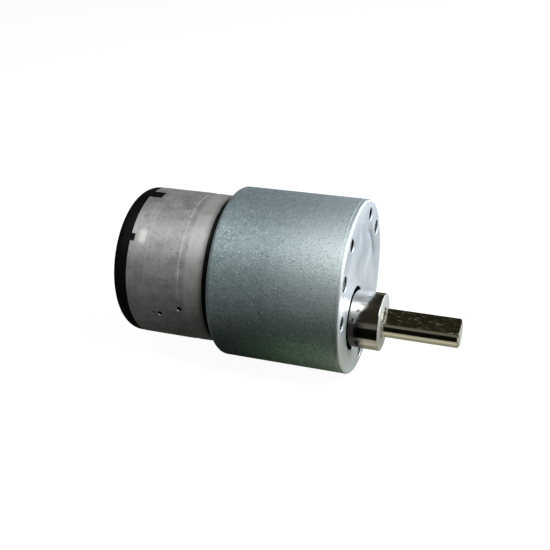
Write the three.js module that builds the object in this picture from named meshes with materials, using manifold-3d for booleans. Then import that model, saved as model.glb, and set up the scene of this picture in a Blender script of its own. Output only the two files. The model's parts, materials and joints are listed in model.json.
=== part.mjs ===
// Geared DC motor: a 37 mm spur gearbox with an offset D shaft, on a brushed motor in a 32.5 mm can.
//
// Millimetres. +X runs along the output shaft, out of the mounting face, and +Z is up.
// The origin is the centre of the mounting face, on the common axis of the gearbox and the motor.
// Angles round that axis are in degrees, from +Y towards +Z.

import * as THREE from 'three';
import { mergeVertices } from 'three/addons/utils/BufferGeometryUtils.js';
import Module from 'manifold-3d';

const wasm = await Module();
wasm.setup();

// ---- Driving dimensions ----

const GAP = 0.05; // between two pieces that are pushed or screwed together
const RUNNING_GAP = 0.06; // all round a shaft or stud that something turns on
const CLEARANCE = 0.15; // all round a screw or a tab in a plain hole
const END_GAP = 0.1; // beyond a piece that stops short of another
const BEYOND = 1; // how far a cutter reaches past the faces that it opens
const SHELL_SEGMENTS = 48; // round the case, the front plate, the can and the cap
const LARGE_SEGMENTS = 40;
const MEDIUM_SEGMENTS = 24;
const SMALL_SEGMENTS = 12;

// Gearbox shell
const GEARBOX_RADIUS = 18.5;
const GEARBOX_LENGTH = 28;
const CASE_WALL = 0.8;
const CASE_CORNER = 1.3;

// Front plate: a flange over the shell's rim, and a spigot inside it
const PLATE_FLANGE = 0.9;
const PLATE_DEPTH = 3.2;
const PLATE_CHAMFER = 0.35;
const SPIGOT_GAP = 0.3; // all round, between the spigot and the shell

// Fixings in the front plate
const HOLE_CIRCLE_RADIUS = 15.5;
const MOUNTING_HOLE_ANGLES = [60, 120, 180, 300];
const MOUNTING_HOLE_RADIUS = 1.25; // M3 tapping size
const POST_ANGLES = [30, 150, 270];
const POST_RADIUS = 1.5;
const POST_THREAD_END = -8.5;
const COVER_SCREW_HEAD_RADIUS = 1.4;
const COVER_SCREW_HEAD = 1;
const COVER_SCREW_SUNK = 0.15; // its head's top, below the face
const COVER_SCREW_RADIUS = 0.8;
const COVER_SCREW_END = -8;
const CROSS_SLOT = { width: 0.35, depth: 0.4 };

// Output shaft and its boss
const SHAFT_OFFSET = 7;
const SHAFT_ANGLE = 220;
const SHAFT_RADIUS = 3;
const SHAFT_END = 22;
const SHAFT_CHAMFER = 0.4;
const SHAFT_JOURNAL_RADIUS = 2;
const SHOULDER_BEHIND_GEAR = 0.5;
const FLAT_DEPTH = 1;
const FLAT_ANGLE = 104;
const FLAT_FROM_BOSS = 0.2;
const BOSS_RADIUS = 6;
const BOSS_LENGTH = 6.2;
const BOSS_GROOVE_RADIUS = 6.75;
const BOSS_GROOVE_DEPTH = 1;
const BUSH_FLANGE_RADIUS = 7.8;
const BUSH_FLANGE = 1;
const BUSH_CHAMFER = 0.3;
const REAR_BUSH_RADIUS = 3;
const REAR_BUSH_LENGTH = 2.1;
const THRUST_WASHER = { radius: 5.5, rear: -4.95, front: -4.35 };

// Rear plate, which carries the studs, the posts and the motor
const REAR_PLATE = 1.5;
const REAR_PLATE_RADIUS = 16.7;
const MOTOR_OPENING_RADIUS = 3.9;
const STUD_RADIUS = 1;
const STUD_IN_FRONT_PLATE = 1.4;
const SPACER_RADIUS = 1.7;
const SPACER_REACH = { rear: 0.25, front: 0.15 }; // past the layers that it fills

// Gear train: six meshes of involute spur gears, each in its own layer
const MODULE = 0.5;
const PRESSURE_ANGLE = THREE.MathUtils.degToRad(20);
const PINION_TEETH = 12;
const WHEEL_TEETH = 24;
const OUTPUT_TEETH = 36;
const PROFILE_SHIFT = 0.3; // of a pinion; a wheel has the opposite shift
const FLANK_RELIEF = 0.035; // taken off each flank for backlash
const GEAR_WIDTH = 3;
const LAYER_PITCH = 3.45;
const FIRST_LAYER = -25.3;
const PINION_HUB_RADIUS = 1.95;

// Motor
const MOTOR_RADIUS = 16.25;
const MOTOR_REAR = -50.5;
const CAN_WALL = 1;
const CAN_CORNER = 1.2;
const CAN_INSIDE_CORNER = 0.5;
const CAN_REAR = -46.7;
const CAN_BOSS_RADIUS = 3.5;
const CAN_BOSS_FRONT = -26.2;
const CAP_CORNER = 2.2;
const CAP_WALL = 1.5;
const CAP_SPIGOT_WALL = 1.1;
const CAP_SPIGOT_FRONT = -45.2;
const CAP_LUG_ROOT = 0.4; // how far a lug reaches into the cap
const CAP_HUB_RADIUS = 4.2;
const CAP_HUB_FRONT = -46.3;
const BEARING_RADIUS = 2.9;
const REAR_BEARING = { rear: -50.1, front: -46.4 };
const FRONT_BEARING = { rear: -31, front: -26.4 };
const MOTOR_SHAFT_RADIUS = 1;
const MOTOR_SHAFT_REAR = -49.5;
const MOTOR_SHAFT_PAST_PINION = 0.2;
const ROTOR_WASHER = { radius: 2.4, rear: -31.6, front: -31.15 };
const MOTOR_SCREW_CIRCLE_RADIUS = 8.5;
const MOTOR_SCREW_ANGLES = [153, 333];
const MOTOR_SCREW_RADIUS = 1.2;
const MOTOR_SCREW_HEAD_RADIUS = 2.2;
const MOTOR_SCREW_SINK = 1;
const MOTOR_SCREW_END = -29.7;
const CORE_REAR = -40.6;
const CORE_FRONT = -31.9;
const CORE_RADIUS = 11.2;
const CORE_HUB_RADIUS = 3.2;
const SHOE_INNER_RADIUS = 9.2;
const HALF_SHOE = THREE.MathUtils.degToRad(50);
const HALF_ARM = 1.7;
const POLES = 3;
const COIL_DEPTH = 4.4; // along its pole
const COIL_THICKNESS = 2.1;
const COIL_OVERHANG = 1.7;
const COIL_ABOVE_HUB = 0.4;
const COMMUTATOR = { rear: -46, front: -42.6, radius: 2.8, slit: 0.3, slitDepth: 0.4 };
const MAGNET = { rear: -42, front: -30.6, halfSpan: 64, gap: 0.45 };
const MAGNET_CLIP = { rear: -39.5, front: -33, halfSpan: 22, thickness: 0.55 };

// Brush gear and terminals: on one line through the axis, with the magnets at right angles to it
const BRUSH_ANGLE = 60;
const BRUSH = { length: 2.2, width: 2, height: 2.05, x: -44.2, z: 4 };
const BRUSH_ARM = { rear: -47.6, front: -43, width: 2.4, strip: 0.3 };
const TERMINAL_INNER_END = -46.9;
const TERMINAL_END = -52.9;
const TERMINAL_OFFSET = 9.5;
const TERMINAL_WIDTH = 2.8;
const TERMINAL_THICKNESS = 0.5;
const TERMINAL_CORNER = 0.6;
const TERMINAL_EYE = { radius: 0.65, fromEnd: 1.2 };

// Locking lugs of the cap, in slots of the can's rim: where, how wide and how far they reach
const CAP_LUGS = [
  { angle: 91, width: 2.6, front: -43.9 },
  { angle: 136, width: 1.5, front: -45.8 },
  { angle: 271, width: 2.6, front: -43.9 },
  { angle: 316, width: 1.5, front: -45.8 },
];

// ---- Sizes worked out from them ----

const CASE_INNER_RADIUS = GEARBOX_RADIUS - CASE_WALL;
const CASE_REAR = -GEARBOX_LENGTH;
const REAR_PLATE_REAR = CASE_REAR + CASE_WALL + GAP;
const REAR_PLATE_FRONT = REAR_PLATE_REAR + REAR_PLATE;
const CAN_FRONT = CASE_REAR - GAP;
const CAN_INNER_RADIUS = MOTOR_RADIUS - CAN_WALL;
const STUD_CIRCLE_RADIUS = (MODULE * (PINION_TEETH + WHEEL_TEETH)) / 2;
const OUTPUT_CENTRES = (MODULE * (PINION_TEETH + OUTPUT_TEETH)) / 2;
const STUD_FRONT = -PLATE_DEPTH + STUD_IN_FRONT_PLATE;

// The last stud is one output centre distance from the shaft, and the studs are 60 degrees apart,
// so that each is as far from the next as from the motor's pinion.
const LAST_STUD_FROM_SHAFT = THREE.MathUtils.radToDeg(Math.acos(
  (STUD_CIRCLE_RADIUS ** 2 + SHAFT_OFFSET ** 2 - OUTPUT_CENTRES ** 2)
  / (2 * STUD_CIRCLE_RADIUS * SHAFT_OFFSET),
));
const STUD_C = polar(STUD_CIRCLE_RADIUS, SHAFT_ANGLE - LAST_STUD_FROM_SHAFT);
const STUD_B = polar(STUD_CIRCLE_RADIUS, SHAFT_ANGLE - LAST_STUD_FROM_SHAFT - 60);
const STUD_A = polar(STUD_CIRCLE_RADIUS, SHAFT_ANGLE - LAST_STUD_FROM_SHAFT - 120);
const MOTOR_AXIS = polar(0, 0);
const SHAFT_AXIS = polar(SHAFT_OFFSET, SHAFT_ANGLE);

// Compound gears in the order that the motion passes them
const STAGES = [
  { name: 'stage_1', layer: 1, at: STUD_A, from: MOTOR_AXIS },
  { name: 'stage_2', layer: 2, at: STUD_B, from: STUD_A },
  { name: 'stage_3', layer: 3, at: STUD_C, from: STUD_B },
  { name: 'stage_4', layer: 4, at: STUD_B, from: STUD_C },
  { name: 'stage_5', layer: 5, at: STUD_C, from: STUD_B },
];
const OUTPUT_LAYER = 6;

// ---- Materials ----

function material(color, roughness, metalness) {
  return new THREE.MeshStandardMaterial({ color, roughness, metalness, flatShading: true });
}

const ZINC = material('#7f8f96', 0.5, 0.7);
const PLATE_ZINC = material('#d3d8da', 0.35, 0.8);
const BRIGHT_STEEL = material('#b9b4aa', 0.15, 1);
const SCREW_STEEL = material('#9a9c9e', 0.3, 1);
const GEAR_STEEL = material('#86898c', 0.35, 1);
const BRASS = material('#c9a04e', 0.35, 1);
const SINTERED_BRONZE = material('#8d6b42', 0.6, 0.9);
const CAN_STEEL = material('#8b8d8c', 0.45, 0.8);
const BLACK_PLASTIC = material('#0b0b0c', 0.4, 0);
const FERRITE = material('#2b2b2d', 0.8, 0);
const LAMINATIONS = material('#5d6063', 0.6, 0.9);
const COPPER = material('#a4512a', 0.35, 0.9);
const CARBON = material('#222222', 0.7, 0.2);

// ---- Shapes ----

function polar(radius, degrees) {
  const angle = THREE.MathUtils.degToRad(degrees);
  return { y: radius * Math.cos(angle), z: radius * Math.sin(angle) };
}

function signedVolume(positions, triangles) {
  const [a, b, c] = [new THREE.Vector3(), new THREE.Vector3(), new THREE.Vector3()];
  let volume = 0;
  for (let i = 0; i < triangles.length; i += 3) {
    a.fromArray(positions, triangles[i] * 3);
    b.fromArray(positions, triangles[i + 1] * 3);
    c.fromArray(positions, triangles[i + 2] * 3);
    volume += a.dot(b.cross(c)) / 6;
  }
  return volume;
}

// Merges a geometry's vertices by position, drops the flat triangles that a lathe leaves on its
// axis, and turns the faces outwards.
function closed(geometry) {
  geometry.deleteAttribute('normal');
  geometry.deleteAttribute('uv');
  const merged = mergeVertices(geometry, 1e-5);
  const corners = merged.index.array;
  const triangles = [];
  for (let i = 0; i < corners.length; i += 3) {
    const [a, b, c] = [corners[i], corners[i + 1], corners[i + 2]];
    if (a !== b && b !== c && c !== a) {
      triangles.push(a, b, c);
    }
  }
  if (signedVolume(merged.attributes.position.array, triangles) < 0) {
    triangles.reverse();
  }
  merged.setIndex(triangles);
  return merged;
}

const LATHE_AXIS_TO_X = new THREE.Matrix4().makeBasis(
  new THREE.Vector3(0, 0, 1), new THREE.Vector3(1, 0, 0), new THREE.Vector3(0, 1, 0),
);
const DRAWING_TO_YZ = new THREE.Matrix4().makeBasis(
  new THREE.Vector3(0, 1, 0), new THREE.Vector3(0, 0, 1), new THREE.Vector3(1, 0, 0),
);

// A profile of [x, radius] points turned about X. It starts and ends on the axis, or it is closed.
function turned(profile, segments) {
  const points = profile.map(([x, radius]) => new THREE.Vector2(radius, x));
  if (profile[0][1] > 0) {
    points.push(points[0].clone());
  }
  const geometry = new THREE.LatheGeometry(points, segments);
  return closed(geometry.applyMatrix4(LATHE_AXIS_TO_X));
}

function rod(rear, front, radius, segments = SMALL_SEGMENTS) {
  return turned([[rear, 0], [rear, radius], [front, radius], [front, 0]], segments);
}

function tube(rear, front, outer, inner, segments = SMALL_SEGMENTS) {
  return turned([[rear, inner], [rear, outer], [front, outer], [front, inner]], segments);
}

// A quarter round from one direction to another, in a profile of [x, radius] points
function corner(x, radius, size, fromDegrees, toDegrees, steps = 4) {
  const points = [];
  for (let i = 0; i <= steps; i += 1) {
    const angle = THREE.MathUtils.degToRad(fromDegrees + ((toDegrees - fromDegrees) * i) / steps);
    points.push([x + size * Math.cos(angle), radius + size * Math.sin(angle)]);
  }
  return points;
}

// A shape drawn in Y and Z, given thickness along X
function extruded(shape, rear, front, curveSegments = 8) {
  const settings = { depth: front - rear, bevelEnabled: false, curveSegments };
  const geometry = new THREE.ExtrudeGeometry(shape, settings);
  geometry.translate(0, 0, rear);
  return closed(geometry.applyMatrix4(DRAWING_TO_YZ));
}

function box(xSize, ySize, zSize, x, y, z) {
  return closed(new THREE.BoxGeometry(xSize, ySize, zSize).translate(x, y, z));
}

function moved(geometry, at) {
  return geometry.translate(0, at.y, at.z);
}

function turnedRound(geometry, degrees) {
  return geometry.rotateX(THREE.MathUtils.degToRad(degrees));
}

// ---- Cuts and joins ----

function toManifold(geometry) {
  const vertProperties = Float32Array.from(geometry.attributes.position.array);
  const triVerts = Uint32Array.from(geometry.index.array);
  return new wasm.Manifold(new wasm.Mesh({ numProp: 3, vertProperties, triVerts }));
}

function fromManifold(solid) {
  const mesh = solid.getMesh();
  const geometry = new THREE.BufferGeometry();
  const positions = new THREE.BufferAttribute(Float32Array.from(mesh.vertProperties), 3);
  geometry.setAttribute('position', positions);
  geometry.setIndex(Array.from(mesh.triVerts));
  return geometry;
}

function cut(body, ...tools) {
  return fromManifold(tools.reduce((rest, t) => rest.subtract(toManifold(t)), toManifold(body)));
}

function joined(body, ...others) {
  return fromManifold(others.reduce((sum, o) => sum.add(toManifold(o)), toManifold(body)));
}

// ---- Gears ----

function involute(angle) {
  return Math.tan(angle) - angle;
}

// Half the angle that a tooth fills at a radius
function halfTooth(teeth, shift, radius) {
  const pitchRadius = (MODULE * teeth) / 2;
  const baseRadius = pitchRadius * Math.cos(PRESSURE_ANGLE);
  const atPitch = (Math.PI / 2 + 2 * shift * Math.tan(PRESSURE_ANGLE)) / teeth;
  const flankAngle = Math.acos(baseRadius / Math.max(radius, baseRadius));
  const relief = FLANK_RELIEF / pitchRadius;
  return atPitch - relief + involute(PRESSURE_ANGLE) - involute(flankAngle);
}

function flankRadii(teeth, shift) {
  const pitch = (MODULE * teeth) / 2;
  const root = pitch - MODULE * (1.25 - shift);
  const tip = pitch + MODULE * (1 + shift);
  const base = pitch * Math.cos(PRESSURE_ANGLE);
  // a wheel's flank is nearly straight below its pitch circle, and a pinion's needs one more point
  return teeth < WHEEL_TEETH ? [root, base, (base + tip) / 2, tip] : [root, pitch, tip];
}

// A spur gear with a tooth centred on +Y. A wide bore needs more steps, to stay clear of its shaft.
function gear(teeth, shift, bore, rear, front, boreSteps = 8) {
  const radii = flankRadii(teeth, shift);
  const outline = [];
  for (let tooth = 0; tooth < teeth; tooth += 1) {
    const middle = (2 * Math.PI * tooth) / teeth;
    const before = radii.map((r) => [r, middle - halfTooth(teeth, shift, r)]);
    const after = radii.map((r) => [r, middle + halfTooth(teeth, shift, r)]).reverse();
    [...before, ...after].forEach(([r, angle]) => {
      outline.push(new THREE.Vector2(r * Math.cos(angle), r * Math.sin(angle)));
    });
  }
  const shape = new THREE.Shape(outline);
  shape.holes.push(new THREE.Path().absarc(0, 0, bore, 0, 2 * Math.PI, true));
  return extruded(shape, rear, front, boreSteps);
}

function layerRear(layer) {
  return FIRST_LAYER + (layer - 1) * LAYER_PITCH;
}

function layerFront(layer) {
  return layerRear(layer) + GEAR_WIDTH;
}

// How far to turn a wheel so that it meshes with a pinion that has a tooth on +Y
function meshingTurn(pinionAt, wheelAt, wheelTeeth) {
  const direction = Math.atan2(wheelAt.z - pinionAt.z, wheelAt.y - pinionAt.y);
  const pinionPhase = (direction * PINION_TEETH) / (2 * Math.PI);
  return direction + Math.PI - ((0.5 - pinionPhase) * 2 * Math.PI) / wheelTeeth;
}

function stageWheel(stage) {
  const [rear, front] = [layerRear(stage.layer), layerFront(stage.layer)];
  return gear(WHEEL_TEETH, -PROFILE_SHIFT, PINION_HUB_RADIUS + GAP, rear, front);
}

// The pinion's teeth start at its wheel's front face, and its hub goes through the wheel
function stagePinion(stage) {
  const bore = STUD_RADIUS + RUNNING_GAP;
  const shoulder = layerFront(stage.layer) + GAP;
  const teeth = gear(PINION_TEETH, PROFILE_SHIFT, bore, shoulder, layerFront(stage.layer + 1));
  const hub = tube(layerRear(stage.layer) - GAP, shoulder, PINION_HUB_RADIUS, bore);
  return joined(teeth, hub);
}

// ---- Gearbox housing ----

function gearboxCase() {
  const bend = CASE_REAR + CASE_CORNER;
  const insideCorner = CASE_CORNER - CASE_WALL;
  const shell = turned([
    [-PLATE_FLANGE - GAP, GEARBOX_RADIUS],
    ...corner(bend, GEARBOX_RADIUS - CASE_CORNER, CASE_CORNER, 90, 180),
    [CASE_REAR, MOTOR_OPENING_RADIUS],
    [CASE_REAR + CASE_WALL, MOTOR_OPENING_RADIUS],
    ...corner(bend, CASE_INNER_RADIUS - insideCorner, insideCorner, 180, 90, 2),
    [-PLATE_FLANGE - GAP, CASE_INNER_RADIUS],
  ], SHELL_SEGMENTS);
  const holes = MOTOR_SCREW_ANGLES.map((angle) => moved(
    rod(CASE_REAR - BEYOND, CASE_REAR + CASE_WALL + BEYOND, MOTOR_SCREW_RADIUS + CLEARANCE),
    polar(MOTOR_SCREW_CIRCLE_RADIUS, angle),
  ));
  return cut(shell, ...holes);
}

function frontPlate() {
  const spigotRadius = CASE_INNER_RADIUS - SPIGOT_GAP;
  const counterbore = -COVER_SCREW_SUNK - COVER_SCREW_HEAD - GAP;
  const disc = turned([
    [0, 0],
    [0, GEARBOX_RADIUS - PLATE_CHAMFER],
    [-PLATE_CHAMFER, GEARBOX_RADIUS],
    [-PLATE_FLANGE, GEARBOX_RADIUS],
    [-PLATE_FLANGE, spigotRadius],
    [-PLATE_DEPTH, spigotRadius],
    [-PLATE_DEPTH, 0],
  ], SHELL_SEGMENTS);
  const mountingHoles = MOUNTING_HOLE_ANGLES.map((angle) => moved(
    rod(-PLATE_DEPTH - BEYOND, BEYOND, MOUNTING_HOLE_RADIUS),
    polar(HOLE_CIRCLE_RADIUS, angle),
  ));
  const screwHoles = POST_ANGLES.map((angle) => moved(
    turned([
      [-PLATE_DEPTH - BEYOND, 0],
      [-PLATE_DEPTH - BEYOND, COVER_SCREW_RADIUS + CLEARANCE],
      [counterbore, COVER_SCREW_RADIUS + CLEARANCE],
      [counterbore, COVER_SCREW_HEAD_RADIUS + CLEARANCE],
      [BEYOND, COVER_SCREW_HEAD_RADIUS + CLEARANCE],
      [BEYOND, 0],
    ], SMALL_SEGMENTS),
    polar(HOLE_CIRCLE_RADIUS, angle),
  ));
  const bushHole = moved(turned([
    [-PLATE_DEPTH - BEYOND, 0],
    [-PLATE_DEPTH - BEYOND, BOSS_RADIUS + GAP],
    [-BOSS_GROOVE_DEPTH, BOSS_RADIUS + GAP],
    [-BOSS_GROOVE_DEPTH, BOSS_GROOVE_RADIUS],
    [BEYOND, BOSS_GROOVE_RADIUS],
    [BEYOND, 0],
  ], LARGE_SEGMENTS), SHAFT_AXIS);
  const studHoles = [STUD_A, STUD_B, STUD_C].map((at) => moved(
    rod(-PLATE_DEPTH - BEYOND, STUD_FRONT + END_GAP, STUD_RADIUS + GAP),
    at,
  ));
  return cut(disc, ...mountingHoles, ...screwHoles, bushHole, ...studHoles);
}

function outputBush() {
  const bore = SHAFT_RADIUS + RUNNING_GAP;
  const flangeFront = -PLATE_DEPTH - GAP;
  return turned([
    [flangeFront - BUSH_FLANGE, bore],
    [flangeFront - BUSH_FLANGE, BUSH_FLANGE_RADIUS],
    [flangeFront, BUSH_FLANGE_RADIUS],
    [flangeFront, BOSS_RADIUS],
    [BOSS_LENGTH - BUSH_CHAMFER, BOSS_RADIUS],
    [BOSS_LENGTH, BOSS_RADIUS - BUSH_CHAMFER],
    [BOSS_LENGTH, bore],
  ], LARGE_SEGMENTS);
}

function coverScrew() {
  const top = -COVER_SCREW_SUNK;
  const shoulder = top - COVER_SCREW_HEAD;
  const screw = turned([
    [COVER_SCREW_END, 0],
    [COVER_SCREW_END, COVER_SCREW_RADIUS],
    [shoulder, COVER_SCREW_RADIUS],
    [shoulder, COVER_SCREW_HEAD_RADIUS],
    [top, COVER_SCREW_HEAD_RADIUS],
    [top, 0],
  ], MEDIUM_SEGMENTS);
  const slotDepth = 2 * CROSS_SLOT.depth;
  const slotLength = 2 * COVER_SCREW_RADIUS;
  const slot = box(slotDepth, CROSS_SLOT.width, slotLength, top, 0, 0);
  const crossSlot = box(slotDepth, slotLength, CROSS_SLOT.width, top, 0, 0);
  return cut(screw, slot, crossSlot);
}

// A post stands on the rear plate with a riveted tail, and its front end takes a cover screw
function post() {
  const front = -PLATE_DEPTH - GAP;
  const shoulder = REAR_PLATE_FRONT + GAP;
  const threadRadius = COVER_SCREW_RADIUS + GAP;
  return turned([
    [REAR_PLATE_REAR, 0],
    [REAR_PLATE_REAR, STUD_RADIUS],
    [shoulder, STUD_RADIUS],
    [shoulder, POST_RADIUS],
    [front, POST_RADIUS],
    [front, threadRadius],
    [POST_THREAD_END, threadRadius],
    [POST_THREAD_END, 0],
  ], SMALL_SEGMENTS);
}

function rearPlate() {
  const [rear, front] = [REAR_PLATE_REAR, REAR_PLATE_FRONT];
  const disc = tube(rear, front, REAR_PLATE_RADIUS, MOTOR_OPENING_RADIUS, LARGE_SEGMENTS);
  const through = (radius, at, segments) => (
    moved(rod(rear - BEYOND, front + BEYOND, radius, segments), at)
  );
  const studHoles = [STUD_A, STUD_B, STUD_C].map((at) => through(STUD_RADIUS + GAP, at));
  const postHoles = POST_ANGLES.map((angle) => (
    through(STUD_RADIUS + GAP, polar(HOLE_CIRCLE_RADIUS, angle))
  ));
  const bushHole = through(REAR_BUSH_RADIUS + GAP, SHAFT_AXIS, MEDIUM_SEGMENTS);
  const screwHoles = MOTOR_SCREW_ANGLES.map((angle) => moved(turned([
    [rear - BEYOND, 0],
    [rear - BEYOND, MOTOR_SCREW_RADIUS + CLEARANCE],
    [front - MOTOR_SCREW_SINK, MOTOR_SCREW_RADIUS + CLEARANCE],
    [front, MOTOR_SCREW_HEAD_RADIUS + CLEARANCE],
    [front + BEYOND, MOTOR_SCREW_HEAD_RADIUS + CLEARANCE],
    [front + BEYOND, 0],
  ], SMALL_SEGMENTS), polar(MOTOR_SCREW_CIRCLE_RADIUS, angle)));
  return cut(disc, ...studHoles, ...postHoles, bushHole, ...screwHoles);
}

// Countersunk, flush with the rear plate's front face, and threaded into the can's front wall
function motorScrew() {
  const face = REAR_PLATE_FRONT - END_GAP;
  return turned([
    [MOTOR_SCREW_END, 0],
    [MOTOR_SCREW_END, MOTOR_SCREW_RADIUS],
    [REAR_PLATE_FRONT - MOTOR_SCREW_SINK, MOTOR_SCREW_RADIUS],
    [face, MOTOR_SCREW_HEAD_RADIUS - END_GAP],
    [face, 0],
  ], SMALL_SEGMENTS);
}

function spacer(firstLayer, lastLayer) {
  const rear = firstLayer === 1
    ? REAR_PLATE_FRONT + GAP
    : layerRear(firstLayer) - SPACER_REACH.rear;
  const front = lastLayer === OUTPUT_LAYER
    ? -PLATE_DEPTH - GAP
    : layerFront(lastLayer) + SPACER_REACH.front;
  return tube(rear, front, SPACER_RADIUS, STUD_RADIUS + RUNNING_GAP);
}

// ---- Output shaft ----

function outputShaft() {
  const shoulder = layerRear(OUTPUT_LAYER) - SHOULDER_BEHIND_GEAR;
  const shaft = turned([
    [REAR_PLATE_REAR + END_GAP, 0],
    [REAR_PLATE_REAR + END_GAP, SHAFT_JOURNAL_RADIUS],
    [shoulder, SHAFT_JOURNAL_RADIUS],
    [shoulder, SHAFT_RADIUS],
    [SHAFT_END - SHAFT_CHAMFER, SHAFT_RADIUS],
    [SHAFT_END, SHAFT_RADIUS - SHAFT_CHAMFER],
    [SHAFT_END, 0],
  ], LARGE_SEGMENTS);
  const flatStart = BOSS_LENGTH + FLAT_FROM_BOSS;
  const flatLength = SHAFT_END + BEYOND - flatStart;
  const height = 2 * SHAFT_RADIUS;
  const aboveFlat = SHAFT_RADIUS - FLAT_DEPTH + height / 2;
  const flat = box(flatLength, height, 3 * SHAFT_RADIUS, flatStart + flatLength / 2, aboveFlat, 0);
  return cut(shaft, turnedRound(flat, FLAT_ANGLE));
}

function thrustWasher() {
  const { radius, rear, front } = THRUST_WASHER;
  return tube(rear, front, radius, SHAFT_RADIUS + GAP, MEDIUM_SEGMENTS);
}

// ---- Motor ----

function lugBlock(lug, rear, innerRadius, outerRadius, spare) {
  const length = lug.front + spare - rear;
  const thickness = outerRadius - innerRadius;
  const middle = innerRadius + thickness / 2;
  const block = box(length, thickness, lug.width + 2 * spare, rear + length / 2, middle, 0);
  return turnedRound(block, lug.angle);
}

function motorCan() {
  const shell = turned([
    [CAN_BOSS_FRONT, BEARING_RADIUS + GAP],
    [CAN_BOSS_FRONT, CAN_BOSS_RADIUS],
    [CAN_FRONT, CAN_BOSS_RADIUS],
    ...corner(CAN_FRONT - CAN_CORNER, MOTOR_RADIUS - CAN_CORNER, CAN_CORNER, 0, 90, 3),
    [CAN_REAR, MOTOR_RADIUS],
    [CAN_REAR, CAN_INNER_RADIUS],
    [CAN_FRONT - CAN_WALL - CAN_INSIDE_CORNER, CAN_INNER_RADIUS],
    [CAN_FRONT - CAN_WALL, CAN_INNER_RADIUS - CAN_INSIDE_CORNER],
    [CAN_FRONT - CAN_WALL, BEARING_RADIUS + GAP],
  ], SHELL_SEGMENTS);
  const screwHoles = MOTOR_SCREW_ANGLES.map((angle) => moved(
    rod(CAN_FRONT - CAN_WALL - BEYOND, CAN_FRONT + BEYOND, MOTOR_SCREW_RADIUS + GAP),
    polar(MOTOR_SCREW_CIRCLE_RADIUS, angle),
  ));
  const slots = CAP_LUGS.map((lug) => (
    lugBlock(lug, CAN_REAR - BEYOND, CAN_INNER_RADIUS - BEYOND, MOTOR_RADIUS + BEYOND, END_GAP)
  ));
  return cut(shell, ...screwHoles, ...slots);
}

function rearCap() {
  const outerRadius = MOTOR_RADIUS - GAP;
  const spigotRadius = CAN_INNER_RADIUS - GAP;
  const spigotInner = spigotRadius - CAP_SPIGOT_WALL;
  const wallFront = MOTOR_REAR + CAP_WALL;
  const shell = turned([
    [CAN_REAR - GAP, outerRadius],
    ...corner(MOTOR_REAR + CAP_CORNER, outerRadius - CAP_CORNER, CAP_CORNER, 90, 180),
    [MOTOR_REAR, BEARING_RADIUS + GAP],
    [CAP_HUB_FRONT, BEARING_RADIUS + GAP],
    [CAP_HUB_FRONT, CAP_HUB_RADIUS],
    [wallFront, CAP_HUB_RADIUS],
    [wallFront, outerRadius - CAP_CORNER],
    [wallFront + 1, spigotInner],
    [CAP_SPIGOT_FRONT, spigotInner],
    [CAP_SPIGOT_FRONT, spigotRadius],
    [CAN_REAR - GAP, spigotRadius],
  ], SHELL_SEGMENTS);
  const lugs = CAP_LUGS.map((lug) => (
    lugBlock(lug, CAN_REAR - CAP_LUG_ROOT, spigotRadius - CAP_LUG_ROOT, outerRadius - GAP, 0)
  ));
  const slotLength = CAP_WALL + BEYOND;
  const slotWidth = TERMINAL_WIDTH + 2 * CLEARANCE;
  const slotHeight = TERMINAL_THICKNESS + 2 * CLEARANCE;
  const wallMiddle = MOTOR_REAR + CAP_WALL / 2;
  const slots = [BRUSH_ANGLE, BRUSH_ANGLE + 180].map((angle) => turnedRound(
    box(slotLength, slotHeight, slotWidth, wallMiddle, TERMINAL_OFFSET, 0),
    angle,
  ));
  return cut(joined(shell, ...lugs), ...slots);
}

function rotorCore() {
  const shape = new THREE.Shape();
  const armOut = Math.asin(HALF_ARM / SHOE_INNER_RADIUS);
  const armIn = Math.asin(HALF_ARM / CORE_HUB_RADIUS);
  for (let pole = 0; pole < POLES; pole += 1) {
    const middle = (2 * Math.PI * pole) / POLES;
    const point = (r, angle) => [r * Math.cos(middle + angle), r * Math.sin(middle + angle)];
    const start = point(CORE_HUB_RADIUS, -armIn);
    if (pole === 0) {
      shape.moveTo(...start);
    } else {
      shape.lineTo(...start);
    }
    shape.lineTo(...point(SHOE_INNER_RADIUS, -armOut));
    shape.absarc(0, 0, SHOE_INNER_RADIUS, middle - armOut, middle - HALF_SHOE, true);
    shape.absarc(0, 0, CORE_RADIUS, middle - HALF_SHOE, middle + HALF_SHOE, false);
    shape.absarc(0, 0, SHOE_INNER_RADIUS, middle + HALF_SHOE, middle + armOut, true);
    shape.lineTo(...point(CORE_HUB_RADIUS, armIn));
  }
  shape.closePath();
  const bore = MOTOR_SHAFT_RADIUS + 2 * GAP;
  shape.holes.push(new THREE.Path().absarc(0, 0, bore, 0, 2 * Math.PI, true));
  return extruded(shape, CORE_REAR, CORE_FRONT, 5);
}

// A coil wound round one arm of the core: a rectangular ring, as thick as the slot is deep
function coil(pole) {
  const halfLength = (CORE_FRONT - CORE_REAR) / 2;
  const halfWidth = HALF_ARM + CLEARANCE;
  const shape = new THREE.Shape();
  const opening = new THREE.Path();
  const rectangle = (path, x, y) => {
    path.moveTo(-x, -y);
    path.lineTo(x, -y);
    path.lineTo(x, y);
    path.lineTo(-x, y);
    path.closePath();
  };
  rectangle(shape, halfLength + COIL_OVERHANG, halfWidth + COIL_THICKNESS);
  rectangle(opening, halfLength + END_GAP, halfWidth);
  shape.holes.push(opening);
  const ring = new THREE.ExtrudeGeometry(shape, { depth: COIL_DEPTH, bevelEnabled: false });
  const inner = CORE_HUB_RADIUS + COIL_ABOVE_HUB;
  ring.rotateX(-Math.PI / 2).translate((CORE_FRONT + CORE_REAR) / 2, inner, 0);
  return turnedRound(closed(ring), (360 * pole) / POLES);
}

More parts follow.
